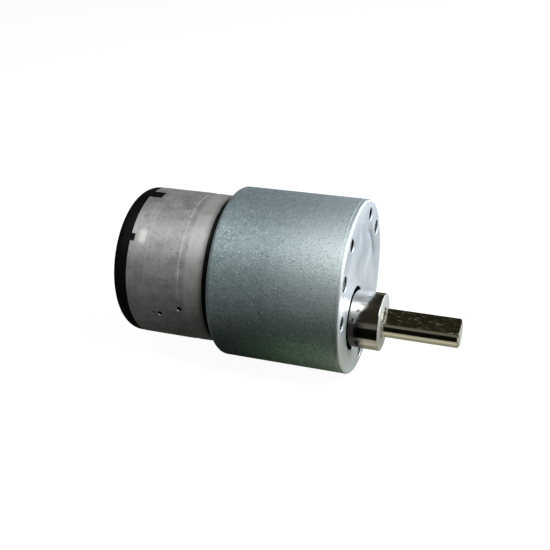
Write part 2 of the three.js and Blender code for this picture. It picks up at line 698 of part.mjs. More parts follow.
function commutator() {
  const { rear, front, radius, slit, slitDepth } = COMMUTATOR;
  const drum = tube(rear, front, radius, MOTOR_SHAFT_RADIUS + GAP, MEDIUM_SEGMENTS);
  const slits = [0, 1, 2].map((k) => turnedRound(
    box(front - rear + BEYOND, 2 * slitDepth, slit, (rear + front) / 2, radius, 0),
    (360 * (k + 0.5)) / POLES,
  ));
  return cut(drum, ...slits);
}

function arcPlate(inner, outer, halfSpan, rear, front) {
  const half = THREE.MathUtils.degToRad(halfSpan);
  const shape = new THREE.Shape();
  shape.absarc(0, 0, outer, -half, half, false);
  shape.absarc(0, 0, inner, half, -half, true);
  shape.closePath();
  return extruded(shape, rear, front, 9);
}

function magnet() {
  const { rear, front, halfSpan, gap } = MAGNET;
  return arcPlate(CORE_RADIUS + gap, CAN_INNER_RADIUS - END_GAP, halfSpan, rear, front);
}

// A leaf sprung between the ends of the two magnets, against the can's wall
function magnetClip() {
  const { rear, front, halfSpan, thickness } = MAGNET_CLIP;
  const outer = CAN_INNER_RADIUS - END_GAP;
  return arcPlate(outer - thickness, outer, halfSpan, rear, front);
}

function terminal() {
  const halfWidth = TERMINAL_WIDTH / 2;
  const shape = new THREE.Shape();
  shape.moveTo(TERMINAL_INNER_END, -halfWidth);
  shape.lineTo(TERMINAL_INNER_END, halfWidth);
  shape.lineTo(TERMINAL_END + TERMINAL_CORNER, halfWidth);
  shape.lineTo(TERMINAL_END, halfWidth - TERMINAL_CORNER);
  shape.lineTo(TERMINAL_END, TERMINAL_CORNER - halfWidth);
  shape.lineTo(TERMINAL_END + TERMINAL_CORNER, -halfWidth);
  shape.closePath();
  const eye = TERMINAL_END + TERMINAL_EYE.fromEnd;
  shape.holes.push(new THREE.Path().absarc(eye, 0, TERMINAL_EYE.radius, 0, 2 * Math.PI, true));
  const settings = { depth: TERMINAL_THICKNESS, bevelEnabled: false, curveSegments: 6 };
  const tab = new THREE.ExtrudeGeometry(shape, settings);
  return closed(tab.translate(0, 0, -TERMINAL_THICKNESS / 2));
}

// A leaf spring of bronze strip, from the foot of its terminal down to the back of its brush
function brushArm() {
  const { rear, front, width, strip } = BRUSH_ARM;
  const low = BRUSH.z + BRUSH.height / 2 + GAP;
  const high = TERMINAL_OFFSET - TERMINAL_THICKNESS / 2 - GAP;
  const leg = box(strip, width, high - low, rear + strip / 2, 0, (high + low) / 2);
  const leaf = box(front - rear, width, strip, (rear + front) / 2, 0, low + strip / 2);
  return joined(leg, leaf);
}

function brush() {
  return box(BRUSH.length, BRUSH.width, BRUSH.height, BRUSH.x, 0, BRUSH.z);
}

// ---- Assembly ----

const group = new THREE.Group();

function add(parent, name, geometry, itsMaterial) {
  const mesh = new THREE.Mesh(geometry, itsMaterial);
  mesh.name = name;
  parent.add(mesh);
  return mesh;
}

function place(object, at) {
  object.position.set(0, at.y, at.z);
  return object;
}

function groupAt(at) {
  const inner = place(new THREE.Group(), at);
  group.add(inner);
  return inner;
}

function addHousing() {
  add(group, 'gearbox_case', gearboxCase(), ZINC);
  add(group, 'front_plate', frontPlate(), PLATE_ZINC);
  add(group, 'rear_plate', rearPlate(), GEAR_STEEL);
  place(add(group, 'output_bush', outputBush(), BRIGHT_STEEL), SHAFT_AXIS);
  const rearBush = tube(
    REAR_PLATE_REAR,
    REAR_PLATE_REAR + REAR_BUSH_LENGTH,
    REAR_BUSH_RADIUS,
    SHAFT_JOURNAL_RADIUS + RUNNING_GAP,
    MEDIUM_SEGMENTS,
  );
  place(add(group, 'output_rear_bush', rearBush, SINTERED_BRONZE), SHAFT_AXIS);
  POST_ANGLES.forEach((angle, i) => {
    const at = polar(HOLE_CIRCLE_RADIUS, angle);
    place(add(group, `post_${i + 1}`, post(), SCREW_STEEL), at);
    place(add(group, `cover_screw_${i + 1}`, coverScrew(), SCREW_STEEL), at);
  });
  MOTOR_SCREW_ANGLES.forEach((angle, i) => {
    const at = polar(MOTOR_SCREW_CIRCLE_RADIUS, angle);
    place(add(group, `motor_screw_${i + 1}`, motorScrew(), SCREW_STEEL), at);
  });
}

function addStuds() {
  const studs = { a: STUD_A, b: STUD_B, c: STUD_C };
  Object.entries(studs).forEach(([letter, at]) => {
    const stud = rod(REAR_PLATE_REAR, STUD_FRONT, STUD_RADIUS);
    place(add(group, `stud_${letter}`, stud, BRIGHT_STEEL), at);
  });
  place(add(group, 'spacer_a', spacer(3, OUTPUT_LAYER), BRASS), STUD_A);
  place(add(group, 'spacer_b_rear', spacer(1, 1), BRASS), STUD_B);
  place(add(group, 'spacer_b_front', spacer(OUTPUT_LAYER, OUTPUT_LAYER), BRASS), STUD_B);
  place(add(group, 'spacer_c', spacer(1, 2), BRASS), STUD_C);
}

function addStages() {
  STAGES.forEach((stage) => {
    const inner = groupAt(stage.at);
    const wheel = add(inner, `${stage.name}_wheel`, stageWheel(stage), BRASS);
    wheel.rotation.x = meshingTurn(stage.from, stage.at, WHEEL_TEETH);
    add(inner, `${stage.name}_pinion`, stagePinion(stage), GEAR_STEEL);
  });
}

function addOutput() {
  const inner = groupAt(SHAFT_AXIS);
  add(inner, 'output_shaft', outputShaft(), BRIGHT_STEEL);
  const [rear, front] = [layerRear(OUTPUT_LAYER), layerFront(OUTPUT_LAYER)];
  const wheel = gear(OUTPUT_TEETH, -PROFILE_SHIFT, SHAFT_RADIUS + GAP, rear, front, 16);
  const mesh = add(inner, 'output_gear', wheel, GEAR_STEEL);
  mesh.rotation.x = meshingTurn(STUD_C, SHAFT_AXIS, OUTPUT_TEETH);
  add(inner, 'thrust_washer', thrustWasher(), BRIGHT_STEEL);
}

function addRotor() {
  const rotor = groupAt(MOTOR_AXIS);
  const bore = MOTOR_SHAFT_RADIUS + GAP;
  const pinionFront = layerFront(1) + END_GAP;
  const front = pinionFront + MOTOR_SHAFT_PAST_PINION;
  add(rotor, 'motor_shaft', rod(MOTOR_SHAFT_REAR, front, MOTOR_SHAFT_RADIUS), BRIGHT_STEEL);
  const pinion = gear(PINION_TEETH, PROFILE_SHIFT, bore, layerRear(1), pinionFront);
  add(rotor, 'motor_pinion', pinion, BRASS);
  add(rotor, 'rotor_core', rotorCore(), LAMINATIONS);
  for (let pole = 0; pole < POLES; pole += 1) {
    add(rotor, `coil_${pole + 1}`, coil(pole), COPPER);
  }
  add(rotor, 'commutator', commutator(), COPPER);
  const washer = tube(ROTOR_WASHER.rear, ROTOR_WASHER.front, ROTOR_WASHER.radius, bore);
  add(rotor, 'rotor_washer', washer, BLACK_PLASTIC);
}

function addMotorShell() {
  add(group, 'motor_can', motorCan(), CAN_STEEL);
  add(group, 'rear_cap', rearCap(), BLACK_PLASTIC);
  const bore = MOTOR_SHAFT_RADIUS + RUNNING_GAP;
  const frontBush = tube(FRONT_BEARING.rear, FRONT_BEARING.front, BEARING_RADIUS, bore);
  add(group, 'motor_front_bush', frontBush, SINTERED_BRONZE);
  const rearBush = tube(REAR_BEARING.rear, REAR_BEARING.front, BEARING_RADIUS, bore);
  add(group, 'motor_rear_bush', rearBush, SINTERED_BRONZE);
  [BRUSH_ANGLE, BRUSH_ANGLE + 180].forEach((angle, i) => {
    add(group, `magnet_${i + 1}`, turnedRound(magnet(), angle - 90), FERRITE);
    add(group, `magnet_clip_${i + 1}`, turnedRound(magnetClip(), angle), BRIGHT_STEEL);
  });
}

// The brush gear is the same on both sides of the commutator. It is drawn above it, and turned.
function addBrushGear() {
  [BRUSH_ANGLE, BRUSH_ANGLE + 180].forEach((angle, i) => {
    const side = new THREE.Group();
    side.rotation.x = THREE.MathUtils.degToRad(angle - 90);
    group.add(side);
    const tab = add(side, `terminal_${i + 1}`, terminal(), BRASS);
    tab.position.z = TERMINAL_OFFSET;
    add(side, `brush_arm_${i + 1}`, brushArm(), SINTERED_BRONZE);
    add(side, `brush_${i + 1}`, brush(), CARBON);
  });
}

addHousing();
addStuds();
addStages();
addOutput();
addMotorShell();
addRotor();
addBrushGear();

export default group;
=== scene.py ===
import json
import math

import bmesh
import bpy
from mathutils import Matrix, Vector


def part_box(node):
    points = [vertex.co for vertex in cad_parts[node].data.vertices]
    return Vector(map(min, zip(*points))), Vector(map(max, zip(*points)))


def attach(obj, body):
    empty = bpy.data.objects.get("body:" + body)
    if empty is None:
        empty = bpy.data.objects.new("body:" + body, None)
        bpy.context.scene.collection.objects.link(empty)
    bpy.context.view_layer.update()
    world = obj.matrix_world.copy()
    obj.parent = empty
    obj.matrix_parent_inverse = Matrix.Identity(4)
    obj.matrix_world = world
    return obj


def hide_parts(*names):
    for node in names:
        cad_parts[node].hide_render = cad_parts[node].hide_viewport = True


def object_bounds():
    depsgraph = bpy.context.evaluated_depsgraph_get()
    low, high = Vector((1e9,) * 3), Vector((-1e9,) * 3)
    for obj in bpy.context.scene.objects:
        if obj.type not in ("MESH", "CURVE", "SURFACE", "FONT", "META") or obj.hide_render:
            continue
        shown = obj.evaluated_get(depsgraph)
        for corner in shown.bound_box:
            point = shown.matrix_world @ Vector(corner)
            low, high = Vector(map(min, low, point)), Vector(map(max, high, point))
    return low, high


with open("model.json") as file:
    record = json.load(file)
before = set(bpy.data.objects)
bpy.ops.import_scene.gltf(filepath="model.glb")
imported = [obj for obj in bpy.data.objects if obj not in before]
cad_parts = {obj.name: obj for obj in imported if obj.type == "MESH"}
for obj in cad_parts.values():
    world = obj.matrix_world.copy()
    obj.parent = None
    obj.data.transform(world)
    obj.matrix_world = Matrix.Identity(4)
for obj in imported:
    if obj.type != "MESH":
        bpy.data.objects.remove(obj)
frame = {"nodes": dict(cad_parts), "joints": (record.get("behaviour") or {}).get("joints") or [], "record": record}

# Looks of the geared DC motor. Metres, in the CAD model's frame: X runs along the output shaft, out
# of the mounting face, and Z is up. Angles round the X axis are in degrees, from +Y towards +Z.

CAD_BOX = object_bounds()
MM = 0.001


def low(node):
    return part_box(node)[0]


def high(node):
    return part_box(node)[1]


def centre(node):
    return (low(node) + high(node)) / 2


def joint_place(name):
    joint = next(j for j in frame["joints"] if j["name"] == name)
    return Vector(joint["pos_m"])


def mount(name):
    return next(m for m in frame["record"]["mounts"] if m["name"] == name)


# ---- Sizes read from the frame ----

MAIN_AXIS = Vector((0, 0, 0))
SHAFT_AXIS = joint_place("output_spin")
FLAT_POINT = Vector(mount("shaft_flat")["pos_m"])
FLAT_NORMAL = Vector(mount("shaft_flat")["axis"])
FLAT_TURN = math.degrees(math.atan2(FLAT_NORMAL.z, FLAT_NORMAL.y))

CASE_RADIUS = high("gearbox_case").y
CASE_REAR = low("gearbox_case").x
CASE_FRONT = high("gearbox_case").x
PLATE_REAR = low("front_plate").x
PLATE_FACE = high("front_plate").x
BOSS_END = high("output_bush").x
BUSH_REAR = low("output_bush").x
SHAFT_REAR = low("output_shaft").x
SHAFT_END = high("output_shaft").x
SHAFT_RADIUS = SHAFT_AXIS.y - low("output_shaft").y
SHAFT_SHOULDER = low("output_gear").x - 0.5 * MM  # just behind the gear
CAN_RADIUS = high("motor_can").y
CAN_REAR = low("motor_can").x
CAN_BOSS_FRONT = high("motor_can").x
CAP_REAR = low("rear_cap").x
FLOOR_HEIGHT = CAD_BOX[0][2]

COVER_SCREWS = ["cover_screw_1", "cover_screw_2", "cover_screw_3"]
MOTOR_SCREWS = ["motor_screw_1", "motor_screw_2"]
STUDS = ["stud_a", "stud_b", "stud_c"]
TERMINALS = ["terminal_1", "terminal_2"]

# ---- Sizes of the features that the frame's boxes don't give ----

GAP = 0.05 * MM  # between two pieces that are pushed or screwed together
RUNNING_GAP = 0.06 * MM  # all round a shaft that turns in something
CLEARANCE = 0.15 * MM  # all round a screw or a tab in a plain hole
BEYOND = 1 * MM  # how far a cutter reaches past the faces that it opens

CASE_WALL = 0.8 * MM
CASE_CORNER = 1.3 * MM
CASE_EDGE = 0.08 * MM
CASE_SCREW_HOLE_RADIUS = 1.5 * MM
MOTOR_OPENING_RADIUS = 3.9 * MM

PLATE_FLANGE = 0.9 * MM
PLATE_RIM = 0.42 * MM
PLATE_REAR_EDGE = 0.06 * MM
SPIGOT_RADIUS = CASE_RADIUS - CASE_WALL - 0.3 * MM
HOLE_CIRCLE_RADIUS = 15.5 * MM
MOUNTING_HOLE_ANGLES = [60, 120, 180, 300]
THREAD_MINOR_RADIUS = 1.25 * MM
THREAD_MAJOR_RADIUS = 1.5 * MM
THREAD_PITCH = 0.5 * MM
COUNTERSINK_RADIUS = 1.55 * MM
PRESSED_ARC = {"inner": 10.9 * MM, "outer": 13.7 * MM, "depth": 0.3 * MM, "from": -14, "to": 66}
LOCATING_DOT = {"angle": 159.5, "depth": 0.4 * MM, "floor": 0.2 * MM, "mouth": 0.34 * MM}

BOSS_RADIUS = 6 * MM
BOSS_EDGE = 0.18 * MM
BORE_CHAMFER = 0.15 * MM
BUSH_FLANGE_RADIUS = 7.8 * MM
GROOVE_RADIUS = 6.75 * MM
GROOVE_DEPTH = 1 * MM
GROOVE_EDGE = 0.1 * MM
JOURNAL_RADIUS = 2 * MM
SHAFT_CHAMFER = 0.4 * MM
FLAT_FROM_BOSS = 0.2 * MM

SCREW_HEAD_RADIUS = 1.4 * MM
SCREW_HEAD_TOP = -0.15 * MM
SCREW_SHOULDER = -1.15 * MM
SCREW_RADIUS = 0.8 * MM
SCREW_DOME = 0.12 * MM
SCREW_EDGE = 0.15 * MM
SCREW_SLOT = (0.9 * MM, 1.7 * MM, 0.36 * MM)  # along X, its length and its width
SCREW_TURN = 20  # degrees, and as much again for each next screw
SCREW_RECESS_RADIUS = 1.6 * MM
SCREW_RECESS_DEPTH = 1.2 * MM
SCREW_RECESS_EDGE = 0.12 * MM

CAN_WALL = 1 * MM
CAN_CORNER = 2 * MM
CAN_INSIDE_CORNER = 0.5 * MM
CAN_TAPER = 0.12 * MM
CAN_EDGE = 0.1 * MM
CAN_BOSS_RADIUS = 3.5 * MM
CAN_SCREW_HOLE_RADIUS = 1.25 * MM
CAN_BEAD = -35.1 * MM  # the rear edge of a shallow groove
CAN_BEAD_STEPS = [(1.5, 0.03), (0.9, 0.1), (0.25, 0.1), (0, 0), (-0.4, 0.02), (-0.8, 0)]  # x, depth
CAN_DIMPLES = [(-41, 194, 0.45), (-39.6, 194, 0.7), (-34.8, 187, 0.75)]  # x, angle, radius
CAN_DIMPLE_DEPTH = 0.35 * MM
BEARING_RADIUS = 2.9 * MM

CAP_CORNER = 2.6 * MM
CAP_WALL = 1.5 * MM
CAP_SPIGOT_WALL = 1.1 * MM
CAP_SPIGOT_FRONT = -45.2 * MM
CAP_HUB_RADIUS = BEARING_RADIUS + 1.3 * MM
CAP_HUB_FRONT = -46.3 * MM
CAP_RING = {"outer": 12.2 * MM, "inner": 10.9 * MM, "depth": 0.35 * MM, "slope": 0.3 * MM}
CAP_RECESS = {"floor": CAP_REAR + 0.4 * MM, "lip": CAP_REAR + 0.1 * MM}
CAP_LUGS = [(91, 2.6, -43.9), (136, 1.5, -45.8), (271, 2.6, -43.9), (316, 1.5, -45.8)]  # see lug_block
LUG_ROOT = 0.3 * MM  # how far a lug reaches into the spigot
LUG_SPARE = 0.08 * MM  # all round a lug in its notch
TERMINAL_WIDTH = 2.8 * MM
TERMINAL_THICKNESS = 0.5 * MM
TERMINAL_CORNER = 0.6 * MM
TERMINAL_EYE = {"radius": 0.65 * MM, "from_end": 1.2 * MM}
MOTOR_SHAFT_RADIUS = 1 * MM

# ---- Places of the painted highlights and painted shade on the metal: angles round the main axis, and places along it ----

# where the case's painted highlight lies
CASE_HIGHLIGHT = {"from": 112, "to": 158, "soft": 18, "rear": -16 * MM, "front": -1 * MM}
CAN_HIGHLIGHT = {"from": 129.5, "to": 140, "soft": 2, "rear": -44.8 * MM, "front": -43.2 * MM}
BOSS_SHADE_ANGLE = 203  # the side of the boss that the painted shade is on
BOSS_SHADE_REACH = {"inner": 3.6 * MM, "outer": 4.4 * MM}  # from the shaft's axis, towards that side
BOSS_SHADE_LENGTH = {"solid": 2 * MM, "faded": 3.6 * MM}  # from the plate's face

# ---- Fineness of the meshes ----

ROUND = 192  # segments round a large piece
SMALL_ROUND = 64
CREASE = math.radians(32)  # a sharper edge than this is shaded as an edge


# ---- Mesh work ----


def polar(radius, degrees, x=0.0):
    angle = math.radians(degrees)
    return Vector((x, radius * math.cos(angle), radius * math.sin(angle)))


def arc(x, radius, size, start, end, steps=6):
    """Points of a rounded edge in a profile of (x, radius), from one direction to another."""
    angles = [math.radians(start + (end - start) * i / steps) for i in range(steps + 1)]
    return [(x + size * math.cos(a), radius + size * math.sin(a)) for a in angles]


def turned(profile, axis=MAIN_AXIS, segments=ROUND):
    """A profile of (x, radius) turned about X: it starts and ends on the axis, or it is closed."""
    bm = bmesh.new()
    rings = []
    for x, radius in profile:
        if radius == 0:
            rings.append([bm.verts.new((x, axis.y, axis.z))])
            continue
        points = [polar(radius, 360 * k / segments, x) for k in range(segments)]
        rings.append([bm.verts.new(p + Vector((0, axis.y, axis.z))) for p in points])
    closed = profile[0][1] > 0
    following = rings[1:] + rings[:1] if closed else rings[1:]
    for ring, other in zip(rings, following):
        for k in range(segments):
            corners = [ring[k % len(ring)], ring[(k + 1) % len(ring)]]
            corners += [other[(k + 1) % len(other)], other[k % len(other)]]
            bm.faces.new(list(dict.fromkeys(corners)))  # three corners where one ring is a point
    return bm


def hole_tool(axis, steps, segments=SMALL_ROUND):
    """A stepped round tool: (x, radius) pairs from the rear to the front."""
    profile = [(steps[0][0], 0), *steps, (steps[-1][0], 0)]
    return turned(profile, axis, segments)


def block(size, place, degrees=0.0):
    """A box, turned round the X axis through the origin."""
    bm = bmesh.new()
    bmesh.ops.create_cube(bm, size=1)
    bmesh.ops.scale(bm, vec=size, verts=bm.verts)
    bmesh.ops.translate(bm, vec=place, verts=bm.verts)
    turn = Matrix.Rotation(math.radians(degrees), 3, "X")
    bmesh.ops.rotate(bm, matrix=turn, verts=bm.verts)
    return bm


def radial_pin(radius, x, degrees, inner, outer, tip=1.0):
    """A round tool that points at the X axis, with a tip of this share of its radius."""
    bm = bmesh.new()
    place = Matrix.Translation((x, 0, (inner + outer) / 2))
    bmesh.ops.create_cone(
        bm, cap_ends=True, segments=32, radius1=radius * tip, radius2=radius, depth=outer - inner,
        matrix=Matrix.Rotation(math.radians(degrees - 90), 4, "X") @ place,
    )
    return bm


def thread(rear, front, axis):
    """A rod with a helical M3 ridge, to cut a threaded hole with."""
    segments, rows_per_turn = 40, 8
    rows = round((front - rear) / THREAD_PITCH * rows_per_turn)
    bm = bmesh.new()
    rings = []
    for row in range(rows + 1):
        x = rear + (front - rear) * row / rows
        ring = []
        for k in range(segments):
            phase = (row / rows_per_turn - k / segments) % 1
            ridge = 1 - abs(2 * phase - 1)
            radius = THREAD_MINOR_RADIUS + (THREAD_MAJOR_RADIUS - THREAD_MINOR_RADIUS) * ridge
            ring.append(bm.verts.new(axis + polar(radius, 360 * k / segments, x)))
        rings.append(ring)
    for ring, other in zip(rings, rings[1:]):
        for k in range(segments):
            after = (k + 1) % segments
            bm.faces.new([ring[k], ring[after], other[after], other[k]])
    bm.faces.new(rings[0])
    bm.faces.new(rings[-1])
    bmesh.ops.triangulate(bm, faces=bm.faces)
    return bm


def crease(bm):
    """Smooth faces, with the sharp edges marked."""
    bmesh.ops.recalc_face_normals(bm, faces=bm.faces)
    for edge in bm.edges:
        edge.smooth = len(edge.link_faces) == 2 and edge.calc_face_angle() < CREASE
    for face in bm.faces:
        face.smooth = True


def link(name, data):
    """A new object in the scene."""
    made = bpy.data.objects.new(name, data)
    bpy.context.scene.collection.objects.link(made)
    return made


def to_mesh(name, bm):
    mesh = bpy.data.meshes.new(name)
    bm.to_mesh(mesh)
    bm.free()
    return mesh


def mesh_object(name, bm):
    crease(bm)
    return link(name, to_mesh(name, bm))


def combine(name, body, tools, operation="DIFFERENCE"):
    """A body with each tool cut out of it, or joined to it."""
    piece = mesh_object(name, body)
    helpers = [mesh_object("tool", tool) for tool in tools]
    for helper in helpers:
        step = piece.modifiers.new("combine", "BOOLEAN")
        step.operation = operation
        step.solver = "EXACT"
        step.object = helper
    evaluated = piece.evaluated_get(bpy.context.evaluated_depsgraph_get())
    bm = bmesh.new()
    bm.from_mesh(evaluated.to_mesh())
    evaluated.to_mesh_clear()
    for spent in [piece, *helpers]:
        bpy.data.objects.remove(spent)
    bmesh.ops.remove_doubles(bm, verts=bm.verts, dist=1e-7)
    return bm


def rounded(piece, width, segments=2):
    """Rounds every sharp edge."""
    bevel = piece.modifiers.new("edges", "BEVEL")
    bevel.width = width
    bevel.segments = segments
    bevel.limit_method = "ANGLE"
    bevel.angle_limit = CREASE


def add(name, bm, body, slot, material, *nodes):
    """Puts a piece in the scene in place of the CAD nodes that it stands for."""
    piece = mesh_object(name, bm)
    piece.data.materials.append(material)
    weights = piece.modifiers.new("normals", "WEIGHTED_NORMAL")
    weights.keep_sharp = True
    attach(piece, body)
    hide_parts(*nodes)
    return piece


# ---- Material work ----


class Recipe:
    """A Principled material that is built up on the piece's own coordinates."""

    def __init__(self, name, metallic, roughness):
        self.material = bpy.data.materials.new(name)
        self.material.use_nodes = True
        self.tree = self.material.node_tree
        self.shader = self.tree.nodes["Principled BSDF"]
        self.shader.inputs["Metallic"].default_value = metallic
        self.shader.inputs["Roughness"].default_value = roughness
        self.last_bump = None

    def node(self, kind, inputs=(), **settings):
        made = self.tree.nodes.new(kind)
        for key, value in settings.items():
            setattr(made, key, value)
        for key, value in dict(inputs).items():
            if isinstance(value, bpy.types.NodeSocket):
                self.tree.links.new(value, made.inputs[key])
            else:
                made.inputs[key].default_value = value
        return made

    def set(self, name, socket):
        self.tree.links.new(socket, self.shader.inputs[name])

    def math(self, operation, a, b):
        return self.node("ShaderNodeMath", {0: a, 1: b}, operation=operation).outputs[0]

    def coordinates(self):
        return self.node("ShaderNodeTexCoord").outputs["Object"]

    def place(self, size):
        """The piece's coordinates, counted in features of this size along X, Y and Z."""
        inputs = {"Vector": self.coordinates(), "Scale": Vector([1 / s for s in size])}
        return self.node("ShaderNodeMapping", inputs).outputs["Vector"]

    def noise(self, size, detail=2.0, roughness=0.5):
        """Noise from 0 to 1 whose features have one size, or a size along each axis."""
        size = size if isinstance(size, tuple) else (size, size, size)
        inputs = {"Vector": self.place(size), "Scale": 1, "Detail": detail, "Roughness": roughness}
        return self.node("ShaderNodeTexNoise", inputs).outputs["Fac"]

    def grains(self, size):
        """The distance to the middle of the nearest grain."""
        inputs = {"Vector": self.place((size, size, size)), "Scale": 1}
        return self.node("ShaderNodeTexVoronoi", inputs).outputs["Distance"]

    def distance_from(self, axis):
        """The distance from an axis along X."""
        offset = {0: self.coordinates(), 1: Vector((0, axis.y, axis.z))}
        moved = self.node("ShaderNodeVectorMath", offset, operation="SUBTRACT")
        flat = {0: moved.outputs["Vector"], 1: (0, 1, 1)}
        across = self.node("ShaderNodeVectorMath", flat, operation="MULTIPLY")
        length = self.node("ShaderNodeVectorMath", {0: across.outputs[0]}, operation="LENGTH")
        return length.outputs["Value"]

    def turning_marks(self, axis, spacing):
        """Noise in rings round an axis along X."""
        radius = self.math("MULTIPLY", self.distance_from(axis), 1 / spacing)
        inputs = {"W": radius, "Scale": 1, "Detail": 3}
        return self.node("ShaderNodeTexNoise", inputs, noise_dimensions="1D").outputs["Fac"]

    def along(self, axis):
        return self.node("ShaderNodeSeparateXYZ", {0: self.coordinates()}).outputs[axis]

    def angle(self):
        """Degrees round the X axis, from +Y towards +Z."""
        turn = self.math("ARCTAN2", self.along("Z"), self.along("Y"))
        return self.math("MULTIPLY", turn, 180 / math.pi)

    def reach(self, axis, degrees):
        """How far a point lies from an axis along X, measured in one direction round it."""
        direction = polar(1, degrees)
        inputs = {0: self.coordinates(), 1: direction}
        along = self.node("ShaderNodeVectorMath", inputs, operation="DOT_PRODUCT")
        return self.math("SUBTRACT", along.outputs["Value"], direction.dot(axis))

    def between(self, value, start, end, low_value=0.0, high_value=1.0):
        """A value stretched from one range to another, and held inside it."""
        inputs = {0: value, 1: start, 2: end, 3: low_value, 4: high_value}
        return self.node("ShaderNodeMapRange", inputs).outputs[0]

    def within(self, value, start, end, soft):
        """1 between two values, and 0 outside them."""
        rise = self.between(value, start - soft, start + soft)
        return self.math("MULTIPLY", rise, self.between(value, end + soft, end - soft))

    def blend(self, factor, a, b):
        """From colour a to colour b."""
        inputs = {0: factor, 6: colour(a), 7: colour(b)}
        return self.node("ShaderNodeMix", inputs, data_type="RGBA").outputs[2]

    def bump(self, height, depth, strength=1.0):
        """Relief of this depth for a height from 0 to 1, over the relief made before it."""
        inputs = {"Height": height, "Distance": depth, "Strength": strength}
        if self.last_bump:
            inputs["Normal"] = self.last_bump
        self.last_bump = self.node("ShaderNodeBump", inputs).outputs["Normal"]
        self.set("Normal", self.last_bump)


def colour(value):
    return value if isinstance(value, bpy.types.NodeSocket) else (*value, 1)


def plated_case():
    """Zinc plate over a coarse drawn skin: fine bright and dark specks, and a painted highlight high at the front.
    """
    recipe = Recipe("plated_case", metallic=0.75, roughness=0.5)
    specks = recipe.noise(0.38 * MM, detail=3, roughness=0.6)
    mottle = recipe.noise(1.1 * MM, detail=2)
    patches = recipe.noise(9 * MM, detail=2)
    base = recipe.blend(recipe.between(patches, 0.3, 0.7), (0.345, 0.45, 0.48), (0.39, 0.49, 0.53))
    base = recipe.blend(recipe.between(mottle, 0.5, 0.75), base, (0.27, 0.37, 0.40))
    base = recipe.blend(recipe.between(mottle, 0.45, 0.25), base, (0.44, 0.55, 0.59))
    # painted highlight: the upper side of the case is made paler towards the front, where the lamps light it
    side = recipe.within(recipe.angle(), CASE_HIGHLIGHT["from"], CASE_HIGHLIGHT["to"], CASE_HIGHLIGHT["soft"])
    front = recipe.between(recipe.along("X"), CASE_HIGHLIGHT["rear"], CASE_HIGHLIGHT["front"])
    pale = recipe.math("MULTIPLY", recipe.between(side, 0, 1, 0.3, 0.78), front)
    base = recipe.blend(pale, base, (0.86, 0.97, 1.0))
    base = recipe.blend(recipe.between(specks, 0.54, 0.72, 0, 0.85), base, (0.15, 0.20, 0.22))
    base = recipe.blend(recipe.between(specks, 0.42, 0.24), base, (0.70, 0.82, 0.86))
    glints = recipe.noise(0.3 * MM, detail=1)
    base = recipe.blend(recipe.between(glints, 0.66, 0.76), base, (0.93, 0.98, 1.0))
    recipe.set("Base Color", base)
    recipe.set("Roughness", recipe.between(specks, 0.25, 0.75, 0.42, 0.62))
    recipe.bump(specks, 0.06 * MM, 0.55)
    recipe.bump(recipe.grains(0.5 * MM), 0.05 * MM, 0.5)
    return recipe.material


def plated_plate():
    """Bright satin zinc with an uneven sheen, painted shade in the pressed arc, and painted shade in the holes."""
    recipe = Recipe("plated_plate", metallic=0.8, roughness=0.35)
    marks = recipe.turning_marks(MAIN_AXIS, 0.25 * MM)
    patches = recipe.noise(5 * MM, detail=3)
    base = recipe.blend(recipe.between(patches, 0.3, 0.7), (0.70, 0.75, 0.79), (0.78, 0.83, 0.86))
    radius, angle = recipe.distance_from(MAIN_AXIS), recipe.angle()
    start, end = PRESSED_ARC["from"], PRESSED_ARC["to"]
    inner, outer = PRESSED_ARC["inner"], PRESSED_ARC["outer"]
    # painted shade: a soft darker arc on the pressed arc's steep wall
    arc_shade_angles = recipe.within(angle, start + 20, end - 14, 14)
    arc_shade_wall = recipe.within(radius, inner + 0.5 * MM, outer - 1 * MM, 0.5 * MM)
    arc_shade = recipe.math("MULTIPLY", arc_shade_angles, arc_shade_wall)
    base = recipe.blend(arc_shade, base, (0.42, 0.47, 0.50))
    arc_angles = recipe.within(angle, start, end, 1)
    in_arc = recipe.math("MULTIPLY", arc_angles, recipe.within(radius, inner, outer, 0.05 * MM))
    # painted shade: every hole, recess and the boss groove is darkened below the face, away from the pressed arc
    # and the rim
    hole_shade = recipe.between(recipe.along("X"), PLATE_FACE - 0.06 * MM, PLATE_FACE - 0.22 * MM)
    hole_shade = recipe.math("MULTIPLY", hole_shade, recipe.math("SUBTRACT", 1, in_arc))
    off_rim = recipe.between(radius, CASE_RADIUS - 0.8 * MM, CASE_RADIUS - 1 * MM)
    hole = recipe.math("MULTIPLY", hole_shade, off_rim)
    recipe.set("Base Color", recipe.blend(hole, base, (0.012, 0.012, 0.011)))
    recipe.set("Roughness", recipe.between(patches, 0.3, 0.7, 0.44, 0.54))
    recipe.bump(marks, 0.01 * MM, 0.04)
    recipe.bump(recipe.noise(0.4 * MM), 0.01 * MM, 0.3)
    return recipe.material


